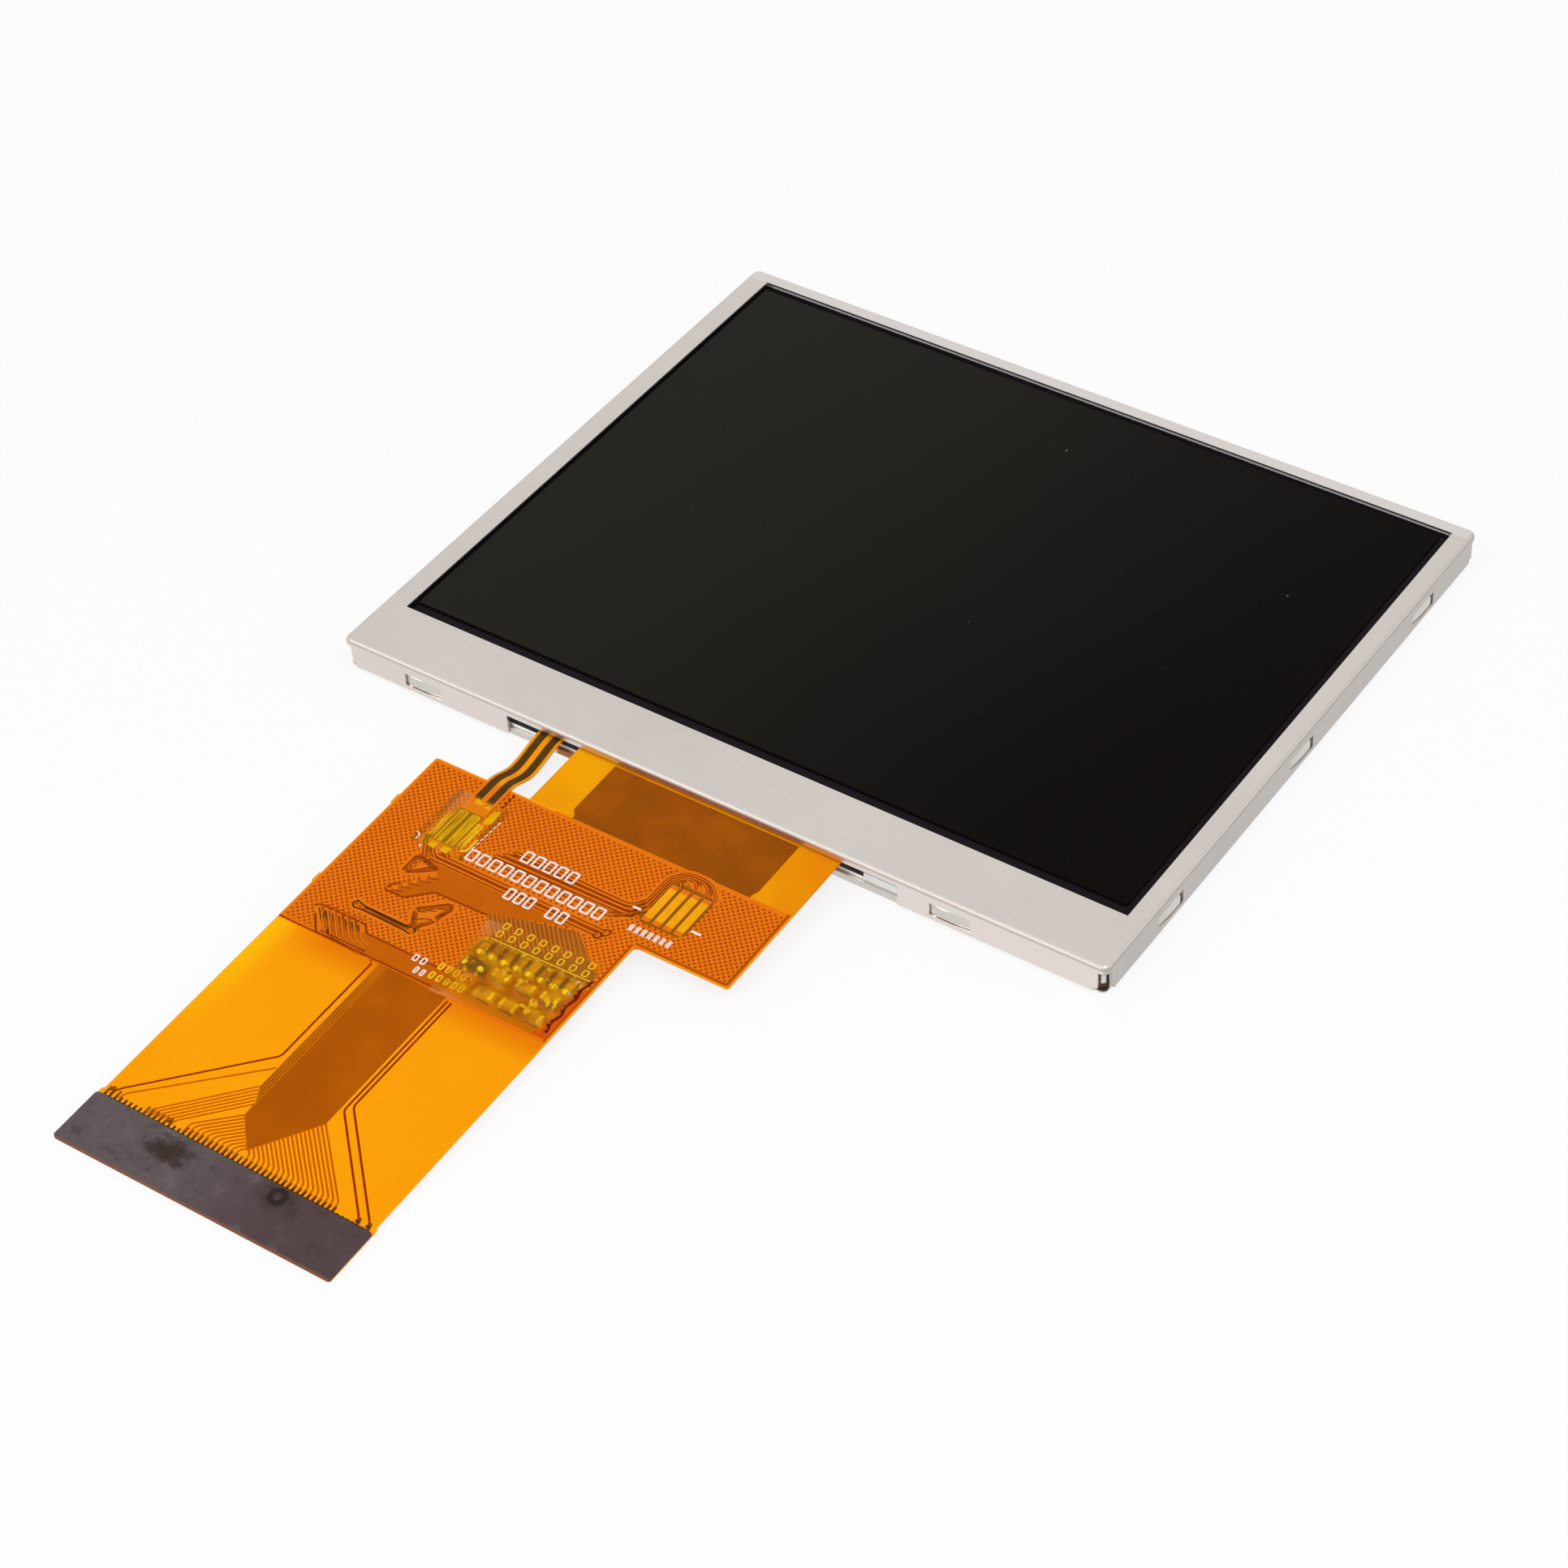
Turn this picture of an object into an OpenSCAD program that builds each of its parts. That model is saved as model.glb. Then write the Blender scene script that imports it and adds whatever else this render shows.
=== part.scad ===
// A 3.5 inch class TFT display module: stamped bezel and back pan, moulded frame, backlight, liquid
// crystal cell and a flexible circuit with its components, laid out straight.
// Origin: the middle of the back face. X runs along the side that the flex leaves, Y points away
// from the flex and Z points out of the screen.

/* [Module] */
// Outline width, along the flex side
module_w = 76.9; // [74:0.1:84]
// Outline depth, across the flex side
module_d = 63.9; // [62.5:0.1:70]
// Thickness from the back face to the bezel's front face
module_t = 3.2; // [3.2:0.05:4]

/* [Front bezel] */
// Thickness of the bezel's sheet
bezel_sheet = 0.2; // [0.15:0.05:0.25]
// Outer radius of the fold round the front
fold_r = 0.4; // [0.3:0.05:0.6]
// Plan radius of the drawn corners
corner_r = 0.7; // [0.65:0.05:1.2]
// Gap between the walls' lower edges and the back face
wall_lift = 0.35; // [0.25:0.05:0.5]
// Width of the rim at the left of the screen window
rim_left = 2.2; // [1.9:0.05:2.2]
// Width of the rim at the right of the screen window
rim_right = 1.75; // [1.6:0.05:2.2]
// Width of the rim behind the screen window
rim_back = 1.4; // [1.3:0.05:1.6]
// Width of the ledge in front of the screen window
rim_front = 6.2; // [5.6:0.1:7]
// Length of each corner relief from the outer face
relief_l = 0.85; // [0.7:0.05:1.2]
// Height of the metal left above each corner relief
relief_top = 0.7; // [0.45:0.05:0.9]
// Radius of the walls' lower corners
wall_corner_r = 0.4; // [0.2:0.05:0.5]

/* [Snap joints] */
// Length of a snap window
snap_l = 3.9; // [3:0.1:5]
// Height of a snap window
snap_h = 1.3; // [1:0.05:1.4]
// Height of a snap window's middle above the back face
snap_z = 1.45; // [1.3:0.05:1.5]
// Open slit left beside each dimple
snap_slit = 0.45; // [0.3:0.05:0.6]
// Gap between a dimple and the upper and lower edges of its window
snap_gap = 0.05; // [0.03:0.01:0.1]
// Radius of a dimple's corners at its open end
dimple_end_r = 0.4; // [0.3:0.05:0.4]
// Number of snaps on each side wall
side_snaps = 3; // [1:1:4]
// Distance between the snaps of a side wall
side_pitch = 21.8; // [10:0.1:24]
// Number of snaps on the back wall
back_snaps = 3; // [1:1:4]
// Distance between the snaps of the back wall
back_pitch = 26; // [10:0.5:28]
// Place of the front wall's left snap
front_snap_left = -29.8; // [-32:0.1:-25]
// Place of the front wall's right snap
front_snap_right = 23.8; // [22:0.1:32]

/* [Flex notch] */
// Left end of the notch in the bezel's front wall
notch_left = -20.7; // [-22:0.1:-18.5]
// Right end of the notch
notch_right = 18.8; // [15:0.1:19.5]
// Height of the notch's upper edge above the back face
notch_top = 2.4; // [2.4:0.05:2.6]
// Height of the pan's lip that closes the notch's foot
lip_h = 0.9; // [0.6:0.05:1.2]

/* [Back pan] */
// Thickness of the pan's sheet
pan_sheet = 0.2; // [0.15:0.05:0.25]
// Outer radius of the pan's folds
pan_fold_r = 0.35; // [0.3:0.05:0.5]
// Height of the pan's walls
pan_wall = 2.35; // [2.25:0.05:2.6]
// Gap between the pan's walls and the bezel's walls
pan_gap = 0.05; // [0.03:0.01:0.08]

/* [Moulded frame] */
// Thickness of the frame's upper wall
frame_wall = 0.6; // [0.5:0.05:0.8]
// Gap between the frame and the pan
frame_gap = 0.05; // [0.03:0.01:0.08]

/* [Liquid crystal cell] */
// Distance from the glass's sides to the active area
cell_side = 2.21; // [2.15:0.01:3]
// Distance from the glass's back edge to the active area
cell_back = 1.45; // [1.4:0.01:2]
// Distance from the upper glass's front edge to the active area
cell_front = 3.39; // [3:0.01:4.5]
// Width of the polarisers beyond the active area
polariser_edge = 0.9; // [0.7:0.05:1.1]
// Thickness of each glass
glass_t = 0.5; // [0.4:0.05:0.55]
// Gap between the glass and the frame's wall
glass_gap = 0.1; // [0.05:0.01:0.15]
// Depth of the lower glass's shelf that carries the driver chip
shelf_d = 4.1; // [3.7:0.1:4.4]
// Place of the upper polariser's middle along the glass
upper_pol_x = -0.15; // [-0.25:0.05:0.25]
// Place of the upper polariser's middle across the glass
upper_pol_y = -0.2; // [-0.3:0.05:0.3]
// Thickness of the upper polariser
upper_pol_t = 0.2; // [0.12:0.01:0.25]
// Thickness of the lower polariser
lower_pol_t = 0.15; // [0.12:0.01:0.2]
// Length of the driver chip
chip_l = 21; // [16:0.5:24]
// Width of the driver chip
chip_w = 1.1; // [0.8:0.1:1.2]
// Height of the driver chip
chip_h = 0.3; // [0.2:0.05:0.4]

/* [Backlight] */
// Thickness of the reflector film
reflector_t = 0.1; // [0.06:0.01:0.12]
// Thickness of the light guide
guide_t = 0.8; // [0.65:0.05:0.85]
// Thickness of each optical film over the guide
film_t = 0.1; // [0.07:0.01:0.11]
// Thickness of the rim tape
rim_tape_t = 0.05; // [0.03:0.01:0.08]
// Clear margin between the active area and the rim tape
tape_clear = 0.35; // [0.2:0.05:0.45]
// Width of the rim tape over the films
tape_over = 0.4; // [0.3:0.05:0.5]
// Width of the rim tape over the films beside the LEDs
tape_over_front = 1.5; // [1:0.1:1.8]
// Number of LEDs
led_count = 6; // [3:1:6]
// Distance between the LEDs
led_pitch = 11.5; // [8:0.1:12]
// Length of an LED
led_l = 3.8; // [3:0.1:4.2]
// Depth of an LED
led_d = 1; // [0.8:0.05:1.2]
// Height of an LED
led_h = 0.8; // [0.6:0.05:0.85]

/* [Main flex] */
// Thickness of the film with its cover film
flex_t = 0.12; // [0.08:0.01:0.14]
// Extra thickness of the two-layer field
field_t = 0.04; // [0.02:0.01:0.08]
// Length of the flex from the module's front face to its end
flex_reach = 55.8; // [50:0.1:80]
// Left edge of the neck
neck_left = -13.1; // [-13.6:0.1:-11]
// Right edge of the neck and of the field's lobe
neck_right = 13.3; // [11.5:0.1:14]
// Distance from the front face to the field's near edge
field_near = 7; // [5.5:0.1:8]
// Distance from the front face to the lobe's far edge
lobe_far = 16.2; // [15:0.1:18]
// Distance from the front face to the field's far edge
field_far = 28.3; // [28:0.1:34]
// Radius of the inner corner beside the lobe
inner_r = 0.5; // [0.3:0.1:1.5]
// Number of contacts at the tail
contact_count = 54; // [40:1:54]
// Pitch of the contacts
contact_pitch = 0.5; // [0.4:0.05:0.5]
// Width of a contact finger
finger_w = 0.3; // [0.2:0.01:0.35]
// Length of a contact finger
finger_l = 3.5; // [2:0.1:4.5]
// Thickness of a contact finger
finger_t = 0.03; // [0.02:0.01:0.05]
// Place of the tail's middle along the front
tail_x = -9.3; // [-9.8:0.1:-9]
// Film that the wider contact end gains on each side
tail_step = 0.2; // [0.1:0.05:0.4]
// Length of the stiffener
stiffener_l = 5.3; // [4.8:0.1:8]
// Thickness of the stiffener
stiffener_t = 0.18; // [0.1:0.01:0.25]

/* [Backlight flex] */
// Thickness of the backlight's strip
strip_t = 0.1; // [0.07:0.01:0.12]
// Width of the strip where it leaves the module
strip_w = 2.5; // [2:0.1:3]
// Place of the strip's middle along the front
strip_x = -16.2; // [-16.6:0.05:-15.8]
// Distance from the front face to the strip's end
strip_reach = 15; // [13.5:0.1:16]
// Height of the strip's underside above the back face where its slack sags
strip_sag = 1.25; // [0.9:0.05:1.6]

/* [Components] */
// Length of a chip capacitor
cap_l = 1.6; // [1:0.1:1.7]
// Width of a chip capacitor
cap_w = 0.8; // [0.5:0.1:0.8]
// Height of a chip capacitor
cap_h = 0.5; // [0.3:0.05:0.8]
// Number of capacitors in the upright row
cap_count = 8; // [4:1:8]
// Distance between the capacitors of the upright row
cap_pitch = 1.22; // [1:0.01:1.24]
// Distance between the parts of the two lower rows
low_pitch = 2.4; // [2:0.1:2.5]
// Length of a bare touch panel pad
pad_l = 4.5; // [3:0.1:5]
// Width of a bare touch panel pad
pad_w = 0.75; // [0.4:0.05:0.8]
// Distance between the bare touch panel pads
pad_pitch = 1.05; // [1:0.05:1.2]

/* [Hidden] */
$fn = 48;

// how far a cutter runs past what it cuts
past = 1;

// sheet metal and frame, from the outside in
half_w = module_w / 2;
half_d = module_d / 2;
under_bezel = module_t - bezel_sheet;
pan_w = module_w - 2 * (bezel_sheet + pan_gap);
pan_d = module_d - 2 * (bezel_sheet + pan_gap);
pan_corner_r = corner_r - bezel_sheet;
frame_w = pan_w - 2 * (pan_sheet + frame_gap);
frame_d = pan_d - 2 * (pan_sheet + frame_gap);
frame_corner_ease = 0.25;
frame_corner_r = pan_corner_r - pan_sheet + frame_corner_ease;
cavity_w = frame_w - 2 * frame_wall;
cavity_d = frame_d - 2 * frame_wall;
relief_z = module_t - relief_top;
// how far the dimples stay below the bezel's outer face, and the radius of their folds
dimple_under = 0.02;
dimple_min_r = 0.05;
dimple_rise = pan_gap + bezel_sheet - dimple_under;
dimple_fold_r = dimple_rise - dimple_min_r;

// heights, from the pan up
guide_z = pan_sheet + reflector_t;
films_z = guide_z + guide_t;
ledge_z = films_z + 3 * film_t;
lower_pol_z = ledge_z + rim_tape_t;
lower_glass_z = lower_pol_z + lower_pol_t;
upper_glass_z = lower_glass_z + glass_t;
upper_pol_z = upper_glass_z + glass_t;

// plan of the cell
glass_half_w = cavity_w / 2 - glass_gap;
glass_back = cavity_d / 2 - glass_gap;
glass_front = -glass_back;
active_half_w = glass_half_w - cell_side;
active_back = glass_back - cell_back;
active_front = glass_front + shelf_d + cell_front;
chip_gap = 0.7;

// plan of the backlight
tape_half_w = active_half_w + tape_clear;
tape_back = active_back + tape_clear;
tape_front = active_front - tape_clear;
tape_inset = 0.35;
films_half_w = tape_half_w + tape_over;
films_back = tape_back + tape_over;
films_front = tape_front - tape_over_front;
films_gap = 0.1;
led_gap = 0.05;
led_side_wall = 0.4;
led_lid = 0.12;
led_recess = 0.1;
led_front = films_front - led_gap - led_d;
strip_z = ledge_z - strip_t;
strip_bar_end = 0.7;
strip_bar_half = ((led_count - 1) * led_pitch + led_l) / 2 + strip_bar_end;
strip_bar_back = films_front - led_gap;
strip_bar_past = 2.2;
strip_bar_front = strip_bar_back - led_d - strip_bar_past;

// flex, in a plane that slopes from the edge of the glass down to what the module lies on
bond_t = 0.03;
bond_l = 1.3;
bond_inset = 0.1;
flex_z = upper_glass_z + bond_t;
flex_start = glass_front + bond_inset + bond_l;
bond_side = 0.3;
passage_in = 0.3;
passage_gap = 0.4;
hinge_in = 0.75;
hinge_y = hinge_in - half_d;
hinge_r = 6;
flex_l = flex_reach + hinge_in;
finger_end = 0.3;
droop = asin((flex_z - finger_t) / (flex_l - finger_end));
field_top = flex_t + field_t;
tail_w = (contact_count + 1) * contact_pitch;
tail_left = tail_x - tail_w / 2;
tail_right = tail_x + tail_w / 2;
film_left = tail_left + tail_step;
film_right = tail_right - tail_step;
film_r = 0.3;
contact_end_past = 0.7;
contact_end_l = stiffener_l + contact_end_past;
neck_overlap = 0.5;
tail_overlap = 2;
bump_l = 1.1;
bump_out = 0.15;
bump_places = [12.65, 23.25];

// way of the strip through the module's front
strip_half = strip_w / 2;
strip_way = 0.15;
strip_rise = 0.05;
strip_crest_in = 0.2;
strip_crest_drop = 0.18;
strip_crest_z = flex_z - strip_crest_drop;
strip_low = 4;
strip_landed = (field_near + strip_reach) / 2;

// things on the flex, as distances from the front face
strip_pad_w = 0.5;
strip_pad_l = 3.9;
strip_pad_x = 0.62;
strip_pad_end = 0.15;
copper_t = 0.02;
solder_l = 3;
solder_w = 0.55;
joint_h = strip_t + copper_t;
// radius of a bead that is joint_h high at the strip and runs out at solder_w from it
solder_r = (pow(solder_w, 2) + pow(joint_h, 2)) / (2 * joint_h);
solder_end = 0.4;
joint_tape_w = 5.4;
joint_tape_l = 6.7;
joint_tape_past = 0.75;
joint_tape_margin = 0.6;
joint_tape_rise = 0.35;
tape_t = 0.05;
pads_near = 9;
pads_in = 0.95;
pads_x = film_right - pads_in;
row_near = 21.9;
row_in = 1.55;
low_in = 2.25;
row_gap = 0.65;
low_gap = 1.45;
row_right = film_right - row_in;
low_right = film_right - low_in;
low_near_1 = row_near + cap_l + row_gap;
low_near_2 = low_near_1 + cap_w + low_gap;
low_far = low_near_2 + cap_w;
cap_end_l = 0.3;
cap_skin = 0.02;
diode_l = 1.5;
diode_w = 0.95;
diode_past = 0.25;
diode_h = cap_h;
diode_lift = 0.05;
lead_w = 0.35;
lead_t = 0.1;
lead_z = cap_h / 2 - lead_t / 2;
lead_out = 0.4;
// tape over the parts: how far it stays level past them, dips between the rows, falls and sticks
parts_tape_hold = 0.15;
parts_tape_dip = 0.15;
parts_tape_fall = 0.8;
parts_tape_near = 1.05;
parts_tape_far = 0.65;
parts_tape_left = 1;
parts_tape_past = 1.96;
parts_tape_in = 0.6;
row_left = row_right - (cap_count - 1) * cap_pitch - cap_w / 2;
parts_tape_x = [row_left - parts_tape_past, film_right - parts_tape_in];

// Y in the flex's own plane of a distance from the module's front face
function on_plane(distance) = -(distance + hinge_in);
// the two ends of a span that lies l / 2 either side of c
function around(c, l) = [c - l / 2, c + l / 2];

// height and slope of a smooth curve between the stations p and q, which are [y, z, slope]
function curve_z(p, q, t) =
    (2 * pow(t, 3) - 3 * pow(t, 2) + 1) * p[1]
    + (pow(t, 3) - 2 * pow(t, 2) + t) * (q[0] - p[0]) * p[2]
    + (3 * pow(t, 2) - 2 * pow(t, 3)) * q[1]
    + (pow(t, 3) - pow(t, 2)) * (q[0] - p[0]) * q[2];
function curve_slope(p, q, t) =
    6 * (pow(t, 2) - t) * (p[1] - q[1]) / (q[0] - p[0])
    + (3 * pow(t, 2) - 4 * t + 1) * p[2]
    + (3 * pow(t, 2) - 2 * t) * q[2];
// the whole way through the stations s with n steps in each span, as [y, z, angle]
function way(s, n) = [
    for (k = [0:len(s) - 2], i = [0:(k == len(s) - 2 ? n : n - 1)])
        [s[k][0] + (s[k + 1][0] - s[k][0]) * i / n,
         curve_z(s[k], s[k + 1], i / n),
         atan(curve_slope(s[k], s[k + 1], i / n))]
];
// outline of a film of thickness t whose underside follows a way
function ribbon(p, t) = concat(
    [for (q = p) [q[0], q[1]]],
    [for (i = [len(p) - 1:-1:0]) [p[i][0] - t * sin(p[i][2]), p[i][1] + t * cos(p[i][2])]]
);

module slab(x, y, z) {
    translate([x[0], y[0], z[0]])
        cube([x[1] - x[0], y[1] - y[0], z[1] - z[0]]);
}

// a section in Y and Z, drawn out along X
module along_x(x) {
    translate([x[0], 0, 0])
        rotate([90, 0, 90])
            linear_extrude(x[1] - x[0])
                children();
}

// a section in X and Z, drawn out along Y
module along_y(y) {
    translate([0, y[1], 0])
        rotate([90, 0, 0])
            linear_extrude(y[1] - y[0])
                children();
}

// rectangle between x[0] and x[1], y[0] and y[1] with corners of radius r
module rounded(x, y, r) {
    translate([x[0] + r, y[0]])
        square([x[1] - x[0] - 2 * r, y[1] - y[0]]);
    translate([x[0], y[0] + r])
        square([x[1] - x[0], y[1] - y[0] - 2 * r]);
    for (cx = [x[0] + r, x[1] - r], cy = [y[0] + r, y[1] - r])
        translate([cx, cy])
            circle(r);
}

// the four corners of a w by d rectangle, each with its own sides along -X and -Y
module at_corners(w, d) {
    for (x = [-1, 1], y = [-1, 1])
        translate([x * w / 2, y * d / 2, 0])
            mirror([x < 0 ? 1 : 0, 0, 0])
                mirror([0, y < 0 ? 1 : 0, 0])
                    children();
}

// section of what a fold of radius f takes off an upper edge that lies at the origin
module fold_section(f) {
    difference() {
        translate([-f, -f])
            square(f + past);
        translate([-f, -f])
            circle(f);
    }
}

// what is cut off the upper edges of a w by d block, with corners of radius r, to fold it over
module fold_cut(w, d, h, r, f) {
    for (s = [0, 180])
        rotate([0, 0, s])
            translate([w / 2, d / 2 - r, h])
                rotate([90, 0, 0])
                    linear_extrude(d - 2 * r)
                        fold_section(f);
    for (s = [90, 270])
        rotate([0, 0, s])
            translate([d / 2, w / 2 - r, h])
                rotate([90, 0, 0])
                    linear_extrude(w - 2 * r)
                        fold_section(f);
    at_corners(w, d)
        translate([-r, -r, h])
            rotate_extrude(angle = 90)
                translate([r, 0])
                    fold_section(f);
}

// block of height h with upright corners of radius r and a fold of radius f round its upper edge
module drawn_block(w, d, h, r, f) {
    difference() {
        linear_extrude(h)
            rounded([-w / 2, w / 2], [-d / 2, d / 2], r);
        fold_cut(w, d, h, r, f);
    }
}

// the snaps of walls that stand w and d apart: children see the wall's outside in -Y and the
// open end of the snap in +X
module at_snaps(w, d) {
    for (i = [0:side_snaps - 1], s = [-1, 1])
        translate([s * w / 2, (i - (side_snaps - 1) / 2) * side_pitch, snap_z])
            rotate([0, 0, s * 90])
                mirror([s < 0 ? 1 : 0, 0, 0])
                    children();
    for (i = [0:back_snaps - 1])
        translate([(i - (back_snaps - 1) / 2) * back_pitch, d / 2, snap_z])
            rotate([0, 0, 180])
                children();
    for (x = [front_snap_left, front_snap_right])
        translate([x, -d / 2, snap_z])
            mirror([1, 0, 0])
                children();
}

// rounds the lower end of a wall that runs along -X and lies in the XZ plane
module wall_end_cut() {
    translate([-relief_l - wall_corner_r, past, wall_lift])
        rotate([90, 0, 0])
            linear_extrude(bezel_sheet + 2 * past)
                difference() {
                    translate([0, -past])
                        square(wall_corner_r + past);
                    translate([0, wall_corner_r])
                        circle(wall_corner_r);
                }
}

module corner_relief() {
    translate([-relief_l, -relief_l, -past])
        cube([relief_l + past, relief_l + past, relief_z + past]);
    wall_end_cut();
    mirror([1, -1, 0])
        wall_end_cut();
}

module front_bezel() {
    color([0.80, 0.78, 0.75])
        difference() {
            drawn_block(module_w, module_d, module_t, corner_r, fold_r);
            // inside
            translate([0, 0, -past])
                drawn_block(module_w - 2 * bezel_sheet, module_d - 2 * bezel_sheet,
                            under_bezel + past, corner_r - bezel_sheet, fold_r - bezel_sheet);
            // below the walls
            slab([-module_w, module_w], [-module_d, module_d], [-past, wall_lift]);
            // screen window
            slab([rim_left - half_w, half_w - rim_right], [rim_front - half_d, half_d - rim_back],
                 [under_bezel - past, module_t + past]);
            // notch for the flexes
            slab([notch_left, notch_right], [-half_d - past, -half_d + bezel_sheet + past],
                 [-past, notch_top]);
            at_corners(module_w, module_d)
                corner_relief();
            at_snaps(module_w, module_d)
                translate([-snap_l / 2, -past, -snap_h / 2])
                    cube([snap_l, bezel_sheet + 2 * past, snap_h]);
        }
}

// a pressed dimple that rises along the wall towards its open end, its outline drawn in by inset
module dimple(inset = 0) {
    end = snap_l / 2 - snap_slit;
    l = snap_l - snap_slit - snap_gap - inset;
    half_h = snap_h / 2 - snap_gap - inset;
    r_along = (pow(l, 2) + pow(dimple_rise, 2)) / (2 * dimple_rise);
    intersection() {
        along_x([end - l, end - inset])
            intersection() {
                rounded([-dimple_rise, dimple_rise], [-half_h, half_h],
                        max(dimple_fold_r - inset, dimple_min_r));
                translate([-dimple_rise, -half_h])
                    square([dimple_rise + pan_sheet / 2, 2 * half_h]);
            }
        along_y([-dimple_rise - past, pan_sheet])
            rounded([end - 2 * l, end - inset], [-half_h, half_h], dimple_end_r - inset);
        translate([end, r_along - dimple_rise, -half_h - past])
            cylinder(r = r_along, h = 2 * (half_h + past));
    }
}

module back_pan() {
    color([0.74, 0.72, 0.69])
        difference() {
            union() {
                translate([0, 0, pan_wall])
                    mirror([0, 0, 1])
                        drawn_block(pan_w, pan_d, pan_wall, pan_corner_r, pan_fold_r);
                at_snaps(pan_w, pan_d)
                    dimple();
            }
            // inside
            translate([0, 0, pan_wall + past])
                mirror([0, 0, 1])
                    drawn_block(pan_w - 2 * pan_sheet, pan_d - 2 * pan_sheet,
                                pan_wall - pan_sheet + past,
                                pan_corner_r - pan_sheet, pan_fold_r - pan_sheet);
            at_snaps(pan_w - 2 * pan_sheet, pan_d - 2 * pan_sheet)
                dimple(pan_sheet);
            // reliefs where the walls meet
            at_corners(pan_w, pan_d)
                translate([-relief_l, -relief_l, pan_fold_r])
                    cube([relief_l + past, relief_l + past, pan_wall]);
            // low lip under the flexes
            slab([notch_left, notch_right], [-pan_d / 2 - past, -pan_d / 2 + pan_sheet + past / 2],
                 [lip_h, pan_wall + past]);
        }
}

module frame_block() {
    h = under_bezel - pan_sheet;
    translate([0, 0, pan_sheet])
        difference() {
            drawn_block(frame_w, frame_d, h, frame_corner_r, fold_r - bezel_sheet);
            translate([0, 0, h])
                mirror([0, 0, 1])
                    fold_cut(frame_w, frame_d, h, frame_corner_r, pan_fold_r - pan_sheet);
        }
}

module mould_frame() {
    front_wall = [-frame_d / 2 - past, -cavity_d / 2 + past / 2];
    color([0.93, 0.93, 0.90])
        difference() {
            frame_block();
            // well of the light guide and its films
            slab([-films_half_w - films_gap, films_half_w + films_gap],
                 [films_front - led_gap, films_back + films_gap], [0, ledge_z + past]);
            // bed of the cell
            slab([-cavity_w / 2, cavity_w / 2], [-cavity_d / 2, cavity_d / 2],
                 [ledge_z, under_bezel + past]);
            // pockets of the LEDs
            at_leds()
                slab([-led_l / 2 - films_gap, led_l / 2 + films_gap],
                     [led_front - films_gap, films_front], [strip_z - led_h, ledge_z + past]);
            // bed of the strip and its way out
            slab([-strip_bar_half - films_gap, strip_bar_half + films_gap],
                 [strip_bar_front - films_gap, films_front], [strip_z, ledge_z + past]);
            slab([strip_x - strip_half - strip_way, strip_x + strip_half + strip_way],
                 [front_wall[0], strip_bar_front + past / 2], [strip_z, under_bezel + past]);
            // way out of the main flex
            slab([notch_left + passage_in, notch_right], front_wall,
                 [flex_z - passage_gap, under_bezel + past]);
        }
}

// plates that fill the well
module well_plate(z, t, tint) {
    color(tint)
        slab([-films_half_w, films_half_w], [films_front, films_back], [z, z + t]);
}

// the LEDs' places along the front
module at_leds() {
    for (i = [0:led_count - 1])
        translate([(i - (led_count - 1) / 2) * led_pitch, 0, 0])
            children();
}

module leds() {
    color([0.95, 0.93, 0.75])
        at_leds()
            difference() {
                slab(around(0, led_l), [led_front, led_front + led_d], [strip_z - led_h, strip_z]);
                // window that the light leaves through
                slab(around(0, led_l - 2 * led_side_wall),
                     [led_front + led_d - led_recess, led_front + led_d + past],
                     [strip_z - led_h + led_lid, strip_z - led_lid]);
            }
}

// height of the field's top at a distance from the front face
function field_z(distance) =
    flex_z - (distance + hinge_in) * tan(droop) + field_top / cos(droop);

module led_flex() {
    stations = [
        [strip_bar_front + strip_rise, strip_z, 0],
        [glass_front + tape_inset - strip_rise, strip_z, 0],
        [strip_crest_in - half_d, strip_crest_z, 0],
        [-half_d - strip_low, strip_sag, 0],
        [-half_d - field_near, field_z(field_near), tan(droop)],
        [-half_d - strip_landed, field_z(strip_landed), tan(droop)]
    ];
    color([0.93, 0.55, 0.10])
        union() {
            slab([-strip_bar_half, strip_bar_half], [strip_bar_front, strip_bar_back], [strip_z, ledge_z]);
            along_x([strip_x - strip_half, strip_x + strip_half])
                polygon(ribbon(way(stations, 6), strip_t));
            on_flex()
                slab([strip_x - strip_half, strip_x + strip_half],
                     [on_plane(strip_reach), on_plane(field_near)], [field_top, field_top + strip_t]);
        }
}

module rim_tape() {
    color([0.08, 0.08, 0.08])
        difference() {
            slab([-glass_half_w + tape_inset, glass_half_w - tape_inset],
                 [glass_front + tape_inset, glass_back - tape_inset], [ledge_z, lower_pol_z]);
            slab([-tape_half_w, tape_half_w], [tape_front, tape_back],
             [ledge_z - past, lower_pol_z + past]);
        }
}

module polariser(x, y, z, t, tint) {
    color(tint)
        slab([x - active_half_w - polariser_edge, x + active_half_w + polariser_edge],
             [y + active_front - polariser_edge, y + active_back + polariser_edge], [z, z + t]);
}

module tft_glass() {
    color([0.20, 0.22, 0.21])
        slab([-glass_half_w, glass_half_w], [glass_front, glass_back], [lower_glass_z, upper_glass_z]);
}

module colour_filter_glass() {
    color([0.12, 0.13, 0.13])
        slab([-glass_half_w, glass_half_w], [glass_front + shelf_d, glass_back],
             [upper_glass_z, upper_pol_z]);
}

module driver_chip() {
    chip_back = glass_front + shelf_d - chip_gap;
    color([0.35, 0.36, 0.38])
        slab([-chip_l / 2, chip_l / 2], [chip_back - chip_w, chip_back],
             [upper_glass_z, upper_glass_z + chip_h]);
}

module flex_bond() {
    color([0.55, 0.45, 0.30])
        slab([neck_left + bond_side, neck_right - bond_side],
             [glass_front + bond_inset, glass_front + bond_inset + bond_l],
             [upper_glass_z, flex_z]);
}

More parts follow.
